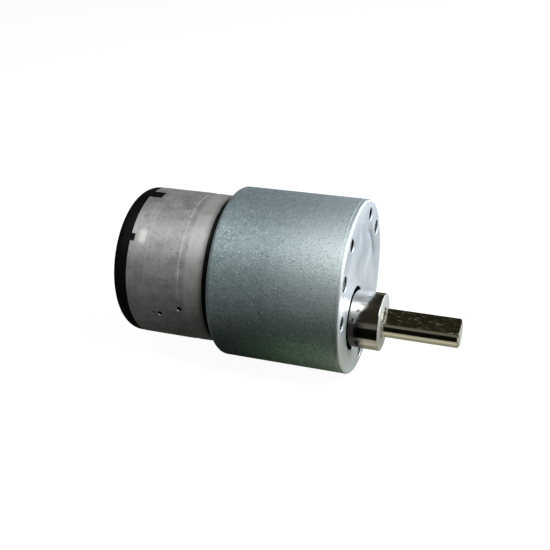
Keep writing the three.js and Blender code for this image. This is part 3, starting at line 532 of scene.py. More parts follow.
def polished_boss():
    """Bright steel with fine turning marks, a rougher end, and painted shade at its root and on its lower side
    near the root.
    """
    recipe = Recipe("polished_boss", metallic=1, roughness=0.12)
    rings = recipe.noise((0.12 * MM, 40 * MM, 40 * MM), detail=2)
    smears = recipe.noise((3 * MM, 1.5 * MM, 1.5 * MM), detail=3)
    base = recipe.blend(recipe.between(smears, 0.35, 0.7), (0.60, 0.59, 0.56), (0.52, 0.51, 0.47))
    along = recipe.along("X")
    # painted shade at the root, where the boss meets the plate, and on its lower side near the root
    root_shade = recipe.between(along, PLATE_FACE + 0.35 * MM, PLATE_FACE - 0.05 * MM)
    reach = recipe.reach(SHAFT_AXIS, BOSS_SHADE_ANGLE)
    side = recipe.between(reach, BOSS_SHADE_REACH["inner"], BOSS_SHADE_REACH["outer"], 0.22, 0.85)
    faded, solid = PLATE_FACE + BOSS_SHADE_LENGTH["faded"], PLATE_FACE + BOSS_SHADE_LENGTH["solid"]
    boss_shade = recipe.math("MULTIPLY", side, recipe.between(along, faded, solid))
    base = recipe.blend(recipe.math("MAXIMUM", root_shade, boss_shade), base, (0.01, 0.01, 0.01))
    end = recipe.between(along, BOSS_END - 0.12 * MM, BOSS_END - 0.04 * MM)
    recipe.set("Base Color", recipe.blend(end, base, (0.60, 0.61, 0.59)))
    polish = recipe.between(smears, 0.3, 0.75, 0.07, 0.16)
    recipe.set("Roughness", recipe.math("ADD", polish, recipe.math("MULTIPLY", end, 0.4)))
    recipe.set("Metallic", recipe.between(end, 0, 1, 1, 0.6))
    recipe.bump(rings, 0.004 * MM, 0.3)
    return recipe.material


def ground_shaft():
    """Ground steel: a mirror with fine lines along it, a mottled milled flat, and a rougher end."""
    recipe = Recipe("ground_shaft", metallic=1, roughness=0.14)
    lines = recipe.noise((6 * MM, 0.1 * MM, 0.1 * MM), detail=3)
    mottle = recipe.noise((1.2 * MM, 0.7 * MM, 0.7 * MM), detail=3, roughness=0.65)
    flat_height = (FLAT_POINT - SHAFT_AXIS).dot(FLAT_NORMAL)
    reach = recipe.reach(SHAFT_AXIS, FLAT_TURN)
    on_flat = recipe.between(reach, flat_height - 0.1 * MM, flat_height - 0.04 * MM)
    marks = recipe.math("MULTIPLY", on_flat, recipe.between(mottle, 0.42, 0.58))
    end = recipe.between(recipe.along("X"), SHAFT_END - 0.3 * MM, SHAFT_END - 0.05 * MM)
    base = recipe.blend(recipe.between(lines, 0.3, 0.7), (0.80, 0.77, 0.67), (0.72, 0.69, 0.59))
    base = recipe.blend(marks, base, (0.38, 0.35, 0.27))
    base = recipe.blend(end, base, (0.95, 0.95, 0.92))
    recipe.set("Base Color", base)
    bright = recipe.math("MULTIPLY", on_flat, recipe.between(mottle, 0.48, 0.32, 0, 0.18))
    polish = recipe.math("ADD", recipe.between(lines, 0.3, 0.7, 0.08, 0.14), bright)
    recipe.set("Roughness", recipe.math("ADD", polish, recipe.math("MULTIPLY", end, 0.3)))
    recipe.bump(lines, 0.003 * MM, 0.3)
    return recipe.material


def drawn_can():
    """Plated drawn steel: blotches and faint rings, with painted highlights on a spot and along the bead,
    and painted shade in the dimples.

    It has a painted highlight in front of the bead, and painted shade where it meets the gearbox.
    """
    recipe = Recipe("drawn_can", metallic=0.75, roughness=0.5)
    blotches = recipe.noise((3 * MM, 2.2 * MM, 2.2 * MM), detail=4, roughness=0.6)
    fine = recipe.noise(0.7 * MM, detail=3, roughness=0.6)
    rings = recipe.noise((0.5 * MM, 30 * MM, 30 * MM), detail=3)
    along, angle = recipe.along("X"), recipe.angle()
    base = recipe.blend(recipe.between(blotches, 0.3, 0.7), (0.40, 0.40, 0.40), (0.60, 0.60, 0.60))
    base = recipe.blend(recipe.between(fine, 0.55, 0.75), base, (0.28, 0.28, 0.28))
    base = recipe.blend(recipe.between(rings, 0.55, 0.75, 0, 0.4), base, (0.66, 0.66, 0.66))
    # painted highlight: the tapered band in front of the bead is made paler
    front_highlight = recipe.between(along, CAN_BEAD + 1.3 * MM, CAN_BEAD + 1.9 * MM, 0, 0.5)
    base = recipe.blend(front_highlight, base, (0.74, 0.74, 0.73))
    # painted highlight: a bright spot high on the can, near its rear
    across_highlight = recipe.within(angle, CAN_HIGHLIGHT["from"], CAN_HIGHLIGHT["to"], CAN_HIGHLIGHT["soft"])
    along_highlight = recipe.within(along, CAN_HIGHLIGHT["rear"], CAN_HIGHLIGHT["front"], 0.4 * MM)
    highlight_spot = recipe.math("MULTIPLY", across_highlight, along_highlight)
    base = recipe.blend(recipe.math("MULTIPLY", highlight_spot, 0.7), base, (0.95, 0.95, 0.94))
    # painted highlight: a thin bright line along the bead's edge, broken up by the blotches
    bead_highlight = recipe.within(along, CAN_BEAD + 0.1 * MM, CAN_BEAD + 0.35 * MM, 0.08 * MM)
    highlight_breaks = recipe.between(blotches, 0.35, 0.6, 0.1, 0.7)
    base = recipe.blend(recipe.math("MULTIPLY", bead_highlight, highlight_breaks), base, (0.80, 0.80, 0.79))
    # painted shade: darker inside the dimples
    radius = recipe.distance_from(MAIN_AXIS)
    dimple_shade = recipe.between(radius, CAN_RADIUS - 0.13 * MM, CAN_RADIUS - 0.2 * MM)
    # painted shade on the can's front corner, where it meets the gearbox
    joint = recipe.between(along, CASE_REAR - 2.6 * MM, CASE_REAR - 0.6 * MM)
    base = recipe.blend(recipe.math("MAXIMUM", dimple_shade, joint), base, (0.012, 0.012, 0.012))
    recipe.set("Base Color", base)
    recipe.set("Roughness", recipe.between(blotches, 0.3, 0.7, 0.48, 0.58))
    recipe.bump(rings, 0.006 * MM, 0.3)
    recipe.bump(fine, 0.02 * MM, 0.3)
    return recipe.material


def black_plastic():
    """Moulded black plastic with a fine grain."""
    recipe = Recipe("black_plastic", metallic=0, roughness=0.42)
    grain = recipe.noise(0.18 * MM, detail=3)
    patches = recipe.noise(6 * MM)
    base = recipe.blend(recipe.between(patches, 0.3, 0.7), (0.003, 0.003, 0.003), (0.006, 0.006, 0.006))
    recipe.set("Base Color", base)
    recipe.set("Roughness", recipe.between(grain, 0.3, 0.7, 0.46, 0.6))
    recipe.shader.inputs["Specular IOR Level"].default_value = 0.08
    recipe.bump(grain, 0.01 * MM, 0.4)
    return recipe.material


def machined(name, light, dark, roughness, grain=0.4 * MM, metallic=1.0):
    """A plain material with a light and a dark shade, mixed in fine patches."""
    recipe = Recipe(name, metallic, roughness)
    patches = recipe.noise(grain * 6, detail=3)
    fine = recipe.noise(grain, detail=2)
    recipe.set("Base Color", recipe.blend(recipe.between(patches, 0.3, 0.7), light, dark))
    recipe.set("Roughness", recipe.between(fine, 0.3, 0.7, roughness * 0.85, roughness * 1.2))
    recipe.bump(fine, grain * 0.04, 0.4)
    return recipe.material


def laminated():
    """A stack of thin steel sheets."""
    recipe = Recipe("laminated_core", metallic=0.9, roughness=0.5)
    sheets = recipe.node(
        "ShaderNodeTexWave",
        {"Vector": recipe.place((3 * MM, 3 * MM, 3 * MM)), "Scale": 2, "Distortion": 0.2},
        bands_direction="X",
    ).outputs["Fac"]
    recipe.set("Base Color", recipe.blend(sheets, (0.16, 0.17, 0.18), (0.42, 0.43, 0.44)))
    recipe.bump(sheets, 0.03 * MM, 0.5)
    return recipe.material


def wound_wire():
    """Enamelled wire, wound in even turns."""
    recipe = Recipe("wound_wire", metallic=0.7, roughness=0.28)
    turns = recipe.node(
        "ShaderNodeTexWave",
        {"Vector": recipe.place((2 * MM, 2 * MM, 2 * MM)), "Scale": 2.2, "Distortion": 0.4},
        bands_direction="DIAGONAL",
    ).outputs["Fac"]
    recipe.set("Base Color", recipe.blend(turns, (0.28, 0.07, 0.025), (0.70, 0.27, 0.10)))
    recipe.bump(turns, 0.06 * MM, 0.6)
    return recipe.material


# ---- Gearbox ----


def build_case(material):
    bend = CASE_REAR + CASE_CORNER
    inner_radius = CASE_RADIUS - CASE_WALL
    inner_corner = CASE_CORNER - CASE_WALL
    shell = turned([
        (CASE_FRONT, inner_radius),
        (CASE_FRONT, CASE_RADIUS - CASE_EDGE),
        (CASE_FRONT - CASE_EDGE, CASE_RADIUS),
        *arc(bend, CASE_RADIUS - CASE_CORNER, CASE_CORNER, 90, 180, 12),
        (CASE_REAR, MOTOR_OPENING_RADIUS),
        (CASE_REAR + CASE_WALL, MOTOR_OPENING_RADIUS),
        *arc(bend, inner_radius - inner_corner, inner_corner, 180, 90),
    ])
    hole_ends = (CASE_REAR - CASE_WALL, CASE_REAR + 2 * CASE_WALL)
    hole = [(x, CASE_SCREW_HOLE_RADIUS) for x in hole_ends]
    holes = [hole_tool(centre(screw), hole) for screw in MOTOR_SCREWS]
    body = combine("case", shell, holes)
    add("gearbox_sleeve", body, "housing", "gearbox_case", material, "gearbox_case")


def pressed_depth(point):
    """The face's shallow pressed arc: a steep inner wall, and a gentle rise outwards."""
    radius = math.hypot(point.y, point.z)
    angle = math.degrees(math.atan2(point.z, point.y))
    across = (radius - PRESSED_ARC["inner"]) / (PRESSED_ARC["outer"] - PRESSED_ARC["inner"])
    along = (angle - PRESSED_ARC["from"]) / (PRESSED_ARC["to"] - PRESSED_ARC["from"])
    if not (0 < across < 1 and 0 < along < 1):
        return 0
    deepest = 0.3
    slope = across / deepest if across < deepest else (1 - across) / (1 - deepest)
    wave = (1 - math.cos(math.pi * slope)) / 2
    return PRESSED_ARC["depth"] * wave * math.sin(math.pi * along)


def plate_blank():
    """The plate before its holes, with rings on its face for the pressed arc to bend."""
    ring_gap = 0.4 * MM
    rings = [(PLATE_FACE, CASE_RADIUS - PLATE_RIM - k * ring_gap) for k in range(1, 45)]
    return turned([
        (PLATE_REAR, 0),
        (PLATE_REAR, SPIGOT_RADIUS),
        (-PLATE_FLANGE, SPIGOT_RADIUS),
        (-PLATE_FLANGE, CASE_RADIUS - PLATE_REAR_EDGE),
        (-PLATE_FLANGE + PLATE_REAR_EDGE, CASE_RADIUS),
        *arc(PLATE_FACE - PLATE_RIM, CASE_RADIUS - PLATE_RIM, PLATE_RIM, 90, 0),
        *rings,
        (PLATE_FACE, 0),
    ])


def mounting_hole_tools(angle):
    """A threaded rod through the plate, and a cone for the countersink."""
    axis = polar(HOLE_CIRCLE_RADIUS, angle)
    sink = COUNTERSINK_RADIUS - THREAD_MINOR_RADIUS
    cone = hole_tool(axis, [
        (PLATE_FACE - sink, THREAD_MINOR_RADIUS),
        (PLATE_FACE, COUNTERSINK_RADIUS),
        (PLATE_FACE + BEYOND, COUNTERSINK_RADIUS),
    ])
    return [thread(PLATE_REAR - BEYOND, PLATE_FACE + BEYOND, axis), cone]


def recess_tool(axis, bore, radius, depth, edge, segments=SMALL_ROUND):
    """A bore through the plate, with a wider recess in its face that has a chamfered rim."""
    return hole_tool(axis, [
        (PLATE_REAR - BEYOND, bore),
        (PLATE_FACE - depth, bore),
        (PLATE_FACE - depth, radius),
        (PLATE_FACE - edge, radius),
        (PLATE_FACE, radius + edge),
        (PLATE_FACE + BEYOND, radius + edge),
    ], segments)


def stud_hole_tool(stud):
    radius = high(stud).y - centre(stud).y + GAP
    return hole_tool(centre(stud), [(PLATE_REAR - BEYOND, radius), (high(stud).x + GAP, radius)])


def locating_dot_tool():
    axis = polar(HOLE_CIRCLE_RADIUS, LOCATING_DOT["angle"])
    floor = (PLATE_FACE - LOCATING_DOT["depth"], LOCATING_DOT["floor"])
    return hole_tool(axis, [floor, (PLATE_FACE + BEYOND, LOCATING_DOT["mouth"])], 24)


def build_plate(material, case_material):
    tools = []
    for angle in MOUNTING_HOLE_ANGLES:
        tools += mounting_hole_tools(angle)
    screw = (SCREW_RADIUS + CLEARANCE, SCREW_RECESS_RADIUS, SCREW_RECESS_DEPTH, SCREW_RECESS_EDGE)
    tools += [recess_tool(centre(node), *screw) for node in COVER_SCREWS]
    boss = (BOSS_RADIUS + GAP, GROOVE_RADIUS, GROOVE_DEPTH, GROOVE_EDGE)
    tools.append(recess_tool(SHAFT_AXIS, *boss, ROUND))
    tools += [stud_hole_tool(stud) for stud in STUDS]
    tools.append(locating_dot_tool())
    body = combine("plate", plate_blank(), tools)
    for vertex in body.verts:
        if abs(vertex.co.x - PLATE_FACE) < 0.001 * MM:
            vertex.co.x -= pressed_depth(vertex.co)
    piece = add("mounting_plate", body, "housing", "front_plate", material, "front_plate")
    piece.data.materials.append(case_material)  # the flange's side looks like the case
    for face in piece.data.polygons:
        on_side = math.hypot(face.center.y, face.center.z) > CASE_RADIUS - 0.1 * MM
        if on_side and face.center.x < PLATE_FACE - PLATE_RIM:
            face.material_index = 1


def build_boss(material):
    bore = SHAFT_RADIUS + RUNNING_GAP
    flange_front = PLATE_REAR - GAP
    body = turned([
        (BUSH_REAR, bore),
        (BUSH_REAR, BUSH_FLANGE_RADIUS),
        (flange_front, BUSH_FLANGE_RADIUS),
        (flange_front, BOSS_RADIUS),
        *arc(BOSS_END - BOSS_EDGE, BOSS_RADIUS - BOSS_EDGE, BOSS_EDGE, 90, 0, 4),
        (BOSS_END, bore + BORE_CHAMFER),
        (BOSS_END - BORE_CHAMFER, bore),
    ], SHAFT_AXIS)
    add("shaft_boss", body, "housing", "boss", material, "output_bush")


def build_shaft(material):
    blank = turned([
        (SHAFT_REAR, 0),
        (SHAFT_REAR, JOURNAL_RADIUS),
        (SHAFT_SHOULDER, JOURNAL_RADIUS),
        (SHAFT_SHOULDER, SHAFT_RADIUS),
        (SHAFT_END - SHAFT_CHAMFER, SHAFT_RADIUS),
        (SHAFT_END, SHAFT_RADIUS - SHAFT_CHAMFER),
        (SHAFT_END, 0),
    ], SHAFT_AXIS, 128)
    flat_rear = BOSS_END + FLAT_FROM_BOSS
    length = SHAFT_END + BEYOND - flat_rear
    height = FLAT_POINT.dot(FLAT_NORMAL) + SHAFT_RADIUS
    across = SHAFT_AXIS.dot(Vector((0, -FLAT_NORMAL.z, FLAT_NORMAL.y)))
    size = (length, 2 * SHAFT_RADIUS, 3 * SHAFT_RADIUS)
    flat = block(size, (flat_rear + length / 2, height, across), FLAT_TURN)
    body = combine("shaft", blank, [flat])
    piece = add("d_shaft", body, "output", "shaft", material, "output_shaft")
    rounded(piece, 0.07 * MM)


def build_cover_screws(material):
    crown = SCREW_HEAD_TOP - SCREW_DOME
    for number, node in enumerate(COVER_SCREWS, 1):
        axis = centre(node)
        head = turned([
            (low(node).x, 0),
            (low(node).x, SCREW_RADIUS),
            (SCREW_SHOULDER, SCREW_RADIUS),
            (SCREW_SHOULDER, SCREW_HEAD_RADIUS),
            (crown - SCREW_EDGE, SCREW_HEAD_RADIUS),
            (crown, SCREW_HEAD_RADIUS - SCREW_EDGE),
            (SCREW_HEAD_TOP - SCREW_DOME / 4, SCREW_HEAD_RADIUS / 2),
            (SCREW_HEAD_TOP, 0),
        ], axis, SMALL_ROUND)
        slots = []
        for quarter in (0, 90):
            slot = block(SCREW_SLOT, (SCREW_HEAD_TOP, 0, 0), SCREW_TURN * number + quarter)
            bmesh.ops.translate(slot, vec=(0, axis.y, axis.z), verts=slot.verts)
            slots.append(slot)
        body = combine("screw", head, slots)
        add(f"cross_head_screw_{number}", body, "housing", "screws", material, node)


# ---- Motor ----


def polar_place(node):
    """The angle and the distance from the main axis of a node's middle."""
    middle = centre(node)
    return math.degrees(math.atan2(middle.z, middle.y)), math.hypot(middle.y, middle.z)


def lug_block(lug, rear, inner_radius, outer_radius, spare=0.0):
    """One of the cap's lugs, or, with some spare room round it, the notch that it sits in.

    A lug is its angle, its width and its front end, the last two in mm.
    """
    angle, width, front = lug
    length = front * MM + spare - rear
    size = (length, outer_radius - inner_radius, width * MM + 2 * spare)
    place = (rear + length / 2, (inner_radius + outer_radius) / 2, 0)
    return block(size, place, angle)


def build_can(material):
    front = CASE_REAR - GAP
    inner_radius = CAN_RADIUS - CAN_WALL
    bore = BEARING_RADIUS + GAP
    corner_radius = CAN_RADIUS - CAN_TAPER - CAN_CORNER
    shell = turned([
        (CAN_BOSS_FRONT, bore),
        (CAN_BOSS_FRONT, CAN_BOSS_RADIUS),
        (front, CAN_BOSS_RADIUS),
        *arc(front - CAN_CORNER, corner_radius, CAN_CORNER, 0, 90, 8),
        *[(CAN_BEAD + x * MM, CAN_RADIUS - depth * MM) for x, depth in CAN_BEAD_STEPS],
        (CAN_REAR + CAN_EDGE, CAN_RADIUS),
        (CAN_REAR, CAN_RADIUS - CAN_EDGE),
        (CAN_REAR, inner_radius),
        (front - CAN_WALL - CAN_INSIDE_CORNER, inner_radius),
        (front - CAN_WALL, inner_radius - CAN_INSIDE_CORNER),
        (front - CAN_WALL, bore),
    ])
    notch = (CAN_REAR - BEYOND, inner_radius - 0.4 * MM, CAN_RADIUS + 0.4 * MM, LUG_SPARE)
    tools = [lug_block(lug, *notch) for lug in CAP_LUGS]
    screw_hole = [(x, CAN_SCREW_HOLE_RADIUS) for x in (front - 2 * CAN_WALL, front + CAN_WALL)]
    tools += [hole_tool(centre(screw), screw_hole) for screw in MOTOR_SCREWS]
    punch = (CAN_RADIUS - CAN_DIMPLE_DEPTH, CAN_RADIUS + 0.2 * MM)
    for x, angle, radius in CAN_DIMPLES:
        tools.append(radial_pin(radius * MM, x * MM, angle, *punch, tip=0.6))
    body = combine("can", shell, tools)
    add("motor_can_shell", body, "housing", "motor_can", material, "motor_can")


def build_cap(material):
    outer = CAN_RADIUS - GAP
    spigot = CAN_RADIUS - CAN_WALL - GAP
    wall_front = CAP_REAR + CAP_WALL
    bore = BEARING_RADIUS + GAP
    ring_floor = CAP_REAR + CAP_RING["depth"]
    shell = turned([
        (CAN_REAR - GAP, outer - 0.05 * MM),
        (CAN_REAR - GAP - 0.1 * MM, outer),
        *arc(CAP_REAR + CAP_CORNER, outer - CAP_CORNER, CAP_CORNER, 90, 180, 12),
        (CAP_REAR, CAP_RING["outer"]),
        (ring_floor, CAP_RING["outer"] - CAP_RING["slope"]),
        (ring_floor, CAP_RING["inner"] + CAP_RING["slope"]),
        (CAP_REAR, CAP_RING["inner"]),
        (CAP_REAR, CAP_HUB_RADIUS + 0.5 * MM),
        (CAP_RECESS["floor"], CAP_HUB_RADIUS),
        (CAP_RECESS["floor"], bore + 0.6 * MM),
        (CAP_RECESS["lip"], bore + 0.35 * MM),
        (CAP_RECESS["lip"], bore),
        (CAP_HUB_FRONT, bore),
        (CAP_HUB_FRONT, CAP_HUB_RADIUS),
        (wall_front, CAP_HUB_RADIUS),
        (wall_front, outer - CAP_CORNER),
        (wall_front + 1 * MM, spigot - CAP_SPIGOT_WALL),
        (CAP_SPIGOT_FRONT, spigot - CAP_SPIGOT_WALL),
        (CAP_SPIGOT_FRONT, spigot),
        (CAN_REAR - GAP, spigot),
    ])
    rear = CAN_REAR - 0.5 * MM
    lugs = [lug_block(lug, rear, spigot - LUG_ROOT, outer - GAP) for lug in CAP_LUGS]
    joined = combine("cap", shell, lugs, "UNION")
    slots = []
    for node in TERMINALS:
        angle, offset = polar_place(node)
        size = (3 * CAP_WALL, TERMINAL_THICKNESS + 2 * CLEARANCE, TERMINAL_WIDTH + 2 * CLEARANCE)
        slots.append(block(size, (CAP_REAR, offset, 0), angle))
    body = combine("cap", joined, slots)
    piece = add("rear_cap_moulding", body, "housing", "rear_cap", material, "rear_cap")
    rounded(piece, 0.06 * MM)


def build_terminals(material):
    for number, node in enumerate(TERMINALS, 1):
        rear, front = low(node).x, high(node).x
        angle, offset = polar_place(node)
        size = (front - rear, TERMINAL_THICKNESS, TERMINAL_WIDTH)
        tab = block(size, ((rear + front) / 2, offset, 0))
        end_edges = [
            edge for edge in tab.edges
            if all(v.co.x < centre(node).x for v in edge.verts)
            and abs(edge.verts[0].co.y - edge.verts[1].co.y) > TERMINAL_THICKNESS / 2
        ]
        bmesh.ops.bevel(
            tab, geom=end_edges, offset=TERMINAL_CORNER, segments=1, affect="EDGES", profile=0.5
        )
        turn = Matrix.Rotation(math.radians(angle), 3, "X")
        bmesh.ops.rotate(tab, matrix=turn, verts=tab.verts)
        eye_x = rear + TERMINAL_EYE["from_end"]
        eye = radial_pin(TERMINAL_EYE["radius"], eye_x, angle, offset - 2 * MM, offset + 2 * MM)
        body = combine("tab", tab, [eye])
        piece = add(f"solder_tab_{number}", body, "housing", "tin", material, node)
        rounded(piece, 0.05 * MM)


def build_rear_bearing(material):
    rear, front = low("motor_rear_bush").x, high("motor_rear_bush").x
    bore = MOTOR_SHAFT_RADIUS + RUNNING_GAP
    edge = 0.2 * MM
    body = turned([
        (front, bore),
        (front, BEARING_RADIUS),
        (rear + edge, BEARING_RADIUS),
        (rear, BEARING_RADIUS - edge),
        (rear, bore + edge),
        (rear + edge, bore),
    ], MAIN_AXIS, SMALL_ROUND)
    add("rear_bearing", body, "housing", "bronze", material, "motor_rear_bush")


def build_rotor_shaft(material):
    rear, front = low("motor_shaft").x, high("motor_shaft").x
    edge = 0.2 * MM
    body = turned([
        (rear, 0),
        (rear, MOTOR_SHAFT_RADIUS - edge),
        (rear + edge, MOTOR_SHAFT_RADIUS),
        (front - edge, MOTOR_SHAFT_RADIUS),
        (front, MOTOR_SHAFT_RADIUS - edge),
        (front, 0),
    ], MAIN_AXIS, SMALL_ROUND)
    add("rotor_shaft", body, "rotor", "shaft", material, "motor_shaft")


# ---- Hidden pieces, which keep their CAD shapes ----


def dress(material, *nodes):
    for name in nodes:
        node = frame["nodes"][name]
        node.data.materials.clear()
        node.data.materials.append(material)


def stage_nodes(kind):
    return [f"stage_{k}_{kind}" for k in range(1, 6)]


def dress_hidden_pieces(gear_steel, brass):
    dress(gear_steel, "rear_plate", "output_gear", "thrust_washer", *stage_nodes("pinion"))
    dress(brass, "motor_pinion", *stage_nodes("wheel"))
    dress(brass, "spacer_a", "spacer_b_rear", "spacer_b_front", "spacer_c")
    rod_steel = machined("rod_steel", (0.58, 0.58, 0.57), (0.48, 0.48, 0.47), 0.22)
    dress(rod_steel, *STUDS, "post_1", "post_2", "post_3", *MOTOR_SCREWS)
    bronze = machined("sintered_bronze", (0.45, 0.29, 0.15), (0.33, 0.21, 0.11), 0.6)
    dress(bronze, "output_rear_bush", "motor_front_bush")
    ferrite = machined("ferrite", (0.05, 0.05, 0.052), (0.028, 0.028, 0.03), 0.75, metallic=0.0)
    dress(ferrite, "magnet_1", "magnet_2")
    spring = machined("spring_steel", (0.55, 0.56, 0.57), (0.42, 0.43, 0.44), 0.3)
    dress(spring, "magnet_clip_1", "magnet_clip_2")
    strip = machined("spring_bronze", (0.66, 0.38, 0.20), (0.52, 0.29, 0.15), 0.3)
    dress(strip, "brush_arm_1", "brush_arm_2")
    carbon = machined("carbon", (0.03, 0.03, 0.03), (0.012, 0.012, 0.012), 0.6, metallic=0.2)
    dress(carbon, "brush_1", "brush_2")
    copper = machined("copper", (0.66, 0.27, 0.13), (0.50, 0.19, 0.09), 0.3)
    dress(copper, "commutator")
    nylon = machined("nylon", (0.06, 0.06, 0.06), (0.04, 0.04, 0.04), 0.5, metallic=0.0)
    dress(nylon, "rotor_washer")
    dress(laminated(), "rotor_core")
    dress(wound_wire(), "coil_1", "coil_2", "coil_3")


# ---- Stage ----

CAMERA_AZIMUTH = 19.7
CAMERA_ELEVATION = 28.5
CAMERA_ROLL = -1.89
CAMERA_DISTANCE = 182.16 * MM
CAMERA_LENS = 56.61
CAMERA_AIM = (-18.08 * MM, 2.51 * MM)  # across and up, from the origin


def view_axes():
    """The camera's right, up and backward directions."""
    azimuth, elevation = math.radians(CAMERA_AZIMUTH), math.radians(CAMERA_ELEVATION)
    back = Vector((
        math.sin(azimuth) * math.cos(elevation),
        -math.cos(azimuth) * math.cos(elevation),
        math.sin(elevation),
    ))
    right = Vector((math.cos(azimuth), math.sin(azimuth), 0))
    right.rotate(Matrix.Rotation(math.radians(CAMERA_ROLL), 3, back))
    return right, back.cross(right), back


def add_camera():
    right, up, back = view_axes()
    camera = link("camera", bpy.data.cameras.new("camera"))
    camera.data.lens = CAMERA_LENS
    camera.data.clip_start = 1 * MM
    across, above = CAMERA_AIM
    place = back * CAMERA_DISTANCE + right * across + up * above
    rotation = Matrix((right, up, back)).transposed().to_4x4()
    camera.matrix_world = Matrix.Translation(place) @ rotation
    bpy.context.scene.camera = camera


def add_light(name, place, target, size, power, tint=(1, 1, 1)):
    """A soft rectangular light; places and sizes in mm, power in watts."""
    light = bpy.data.lights.new(name, "AREA")
    light.shape = "RECTANGLE"
    light.size, light.size_y = size[0] * MM, size[1] * MM
    light.energy = power
    light.color = tint
    lamp = link(name, light)
    lamp.location = Vector(place) * MM
    lamp.rotation_euler = (Vector(place) - Vector(target)).to_track_quat("Z", "Y").to_euler()


def plane(name, corner_a, corner_b, height):
    bm = bmesh.new()
    (x0, y0), (x1, y1) = corner_a, corner_b
    corners = [bm.verts.new((x, y, height)) for x, y in ((x0, y0), (x1, y0), (x1, y1), (x0, y1))]
    bm.faces.new(corners)
    piece = link(name, to_mesh(name, bm))
    return piece


def paper(name, shade, glow):
    """A plain surface of one shade that also gives off light of its own."""
    recipe = Recipe(name, metallic=0, roughness=0.9)
    patches = recipe.noise(60 * MM)
    lighter = [c * 1.01 for c in shade]
    recipe.set("Base Color", recipe.blend(patches, shade, lighter))
    recipe.shader.inputs["Specular IOR Level"].default_value = 0
    recipe.shader.inputs["Emission Color"].default_value = (1, 1, 1, 1)
    recipe.shader.inputs["Emission Strength"].default_value = glow
    return recipe.material


def glowing(name, stops):
    """A surface that reflects nothing and gives off a shade at each of these places along X, in mm."""
    recipe = Recipe(name, metallic=0, roughness=1)
    wobble = recipe.between(recipe.noise(20 * MM), 0, 1, 0, 1 * MM)
    along = recipe.math("ADD", recipe.along("X"), wobble)
    first = stops[0][1]
    shade = recipe.blend(0.0, first, first)
    for (start, _), (end, after) in zip(stops, stops[1:]):
        shade = recipe.blend(recipe.between(along, start * MM, end * MM), shade, after)
    recipe.set("Emission Color", shade)
    recipe.shader.inputs["Base Color"].default_value = (0, 0, 0, 1)
    recipe.shader.inputs["Specular IOR Level"].default_value = 0
    recipe.shader.inputs["Emission Strength"].default_value = 1
    return recipe.material


def add_card(name, corner_a, corner_b, stops):
    """A glowing card on the floor that the camera doesn't see; corners in mm."""
    corners = [[place * MM for place in corner] for corner in (corner_a, corner_b)]
    card = plane(name, *corners, FLOOR_HEIGHT)
    card.data.materials.append(glowing(name, stops))
    card.visible_camera = False
    card.visible_shadow = False


def add_floor():
    """A pale floor for the eye, and the cards that the metal reflects from below."""
    seen = plane("floor", (-2, -2), (2, 2), FLOOR_HEIGHT - 0.05 * MM)
    seen.data.materials.append(paper("floor_paper", (0.22, 0.22, 0.22), 0.95))
    seen.visible_glossy = False
    seen.visible_diffuse = False
    black = (0.004, 0.004, 0.003)
    add_card("beige_card_near", (-3.5, -22), (80, -16), [(0, (0.46, 0.45, 0.36))])
    add_card("beige_card_middle", (0, -16), (80, -11), [(0, (0.58, 0.57, 0.46))])
    add_card("beige_card_far", (0, -11), (80, 42), [(0, (0.30, 0.30, 0.23))])
    add_card("olive_card", (-80, -16), (0, 50), [
        (-34, (0.05, 0.055, 0.045)),
        (-29, (0.012, 0.014, 0.009)),
        (-21, (0.012, 0.014, 0.009)),
        (-13, (0.045, 0.055, 0.03)),
    ])
    add_card("near_card", (-300, -30), (-3.5, -16), [
        (-60, (0.11, 0.11, 0.11)),
        (-42, (0.11, 0.11, 0.11)),
        (-36, (0.01, 0.01, 0.01)),
        (-25, (0.008, 0.012, 0.008)),
        (-14, (0.10, 0.16, 0.08)),
        (-4, (0.20, 0.27, 0.17)),
    ])
    add_card("black_card", (-3.5, -30), (300, -22), [(0, black)])
    add_card("far_card", (-300, -300), (300, -30), [
        (-60, (0.08, 0.08, 0.08)),
        (-42, (0.08, 0.08, 0.08)),
        (-34, black),
    ])


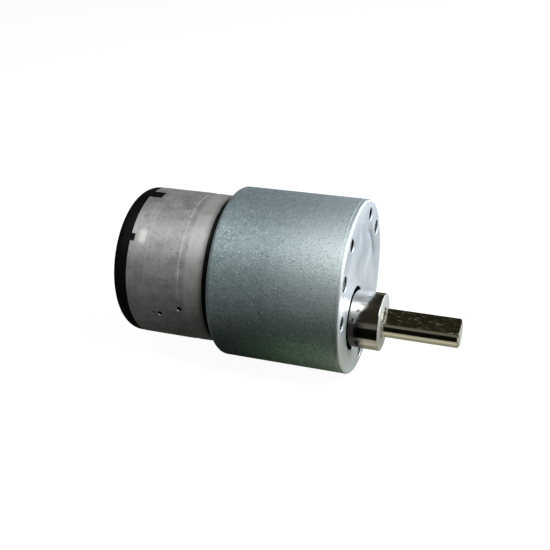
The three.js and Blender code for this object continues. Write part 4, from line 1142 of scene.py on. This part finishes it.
def add_surroundings():
    """A dim room: olive and dark above, with a paler band at the horizon."""
    world = bpy.data.worlds.new("room")
    bpy.context.scene.world = world
    world.use_nodes = True
    tree = world.node_tree
    coordinates = tree.nodes.new("ShaderNodeTexCoord")
    split = tree.nodes.new("ShaderNodeSeparateXYZ")
    ramp = tree.nodes.new("ShaderNodeValToRGB")
    tree.links.new(coordinates.outputs["Generated"], split.inputs[0])
    height = tree.nodes.new("ShaderNodeMapRange")
    height.inputs["From Min"].default_value = -1
    tree.links.new(split.outputs["Z"], height.inputs["Value"])
    tree.links.new(height.outputs[0], ramp.inputs[0])
    stops = [
        (0.0, (0.02, 0.02, 0.014)),
        (0.46, (0.03, 0.03, 0.02)),
        (0.5, (0.16, 0.15, 0.125)),
        (0.62, (0.15, 0.14, 0.115)),
        (0.68, (0.03, 0.028, 0.018)),
        (1.0, (0.03, 0.028, 0.018)),
    ]
    elements = ramp.color_ramp.elements
    for position, shade in stops[1:-1]:
        elements.new(position).color = (*shade, 1)
    elements[0].color = (*stops[0][1], 1)
    elements[-1].color = (*stops[-1][1], 1)
    tree.links.new(ramp.outputs[0], tree.nodes["Background"].inputs["Color"])


def add_lights():
    add_light("key", (85, -40, 140), (-2, 0, 10), (90, 90), 0.31)
    add_light("overhead", (-130, -60, 160), (-30, 0, 0), (150, 120), 0.10)
    add_light("side", (270, 215, 70), (0, 0, 0), (300, 300), 1.35, (0.90, 0.97, 1.08))


# ---- Assembly ----

add_camera()
add_floor()
add_surroundings()
add_lights()
bpy.context.scene.view_settings.view_transform = "Standard"

gear_steel = machined("gear_steel", (0.46, 0.47, 0.48), (0.36, 0.37, 0.38), 0.34)
brass = machined("brass", (0.78, 0.56, 0.22), (0.66, 0.46, 0.17), 0.3)
screw_steel = machined("screw_steel", (0.62, 0.63, 0.64), (0.50, 0.51, 0.52), 0.26)
tin = machined("tinned_brass", (0.72, 0.70, 0.64), (0.58, 0.56, 0.50), 0.3)
bearing_bronze = machined("bearing_bronze", (0.48, 0.32, 0.17), (0.34, 0.22, 0.12), 0.55)
shaft_steel = ground_shaft()

case_zinc = plated_case()
build_case(case_zinc)
build_plate(plated_plate(), case_zinc)
build_boss(polished_boss())
build_shaft(shaft_steel)
build_cover_screws(screw_steel)
build_can(drawn_can())
build_cap(black_plastic())
build_terminals(tin)
build_rear_bearing(bearing_bronze)
build_rotor_shaft(shaft_steel)
dress_hidden_pieces(gear_steel, brass)
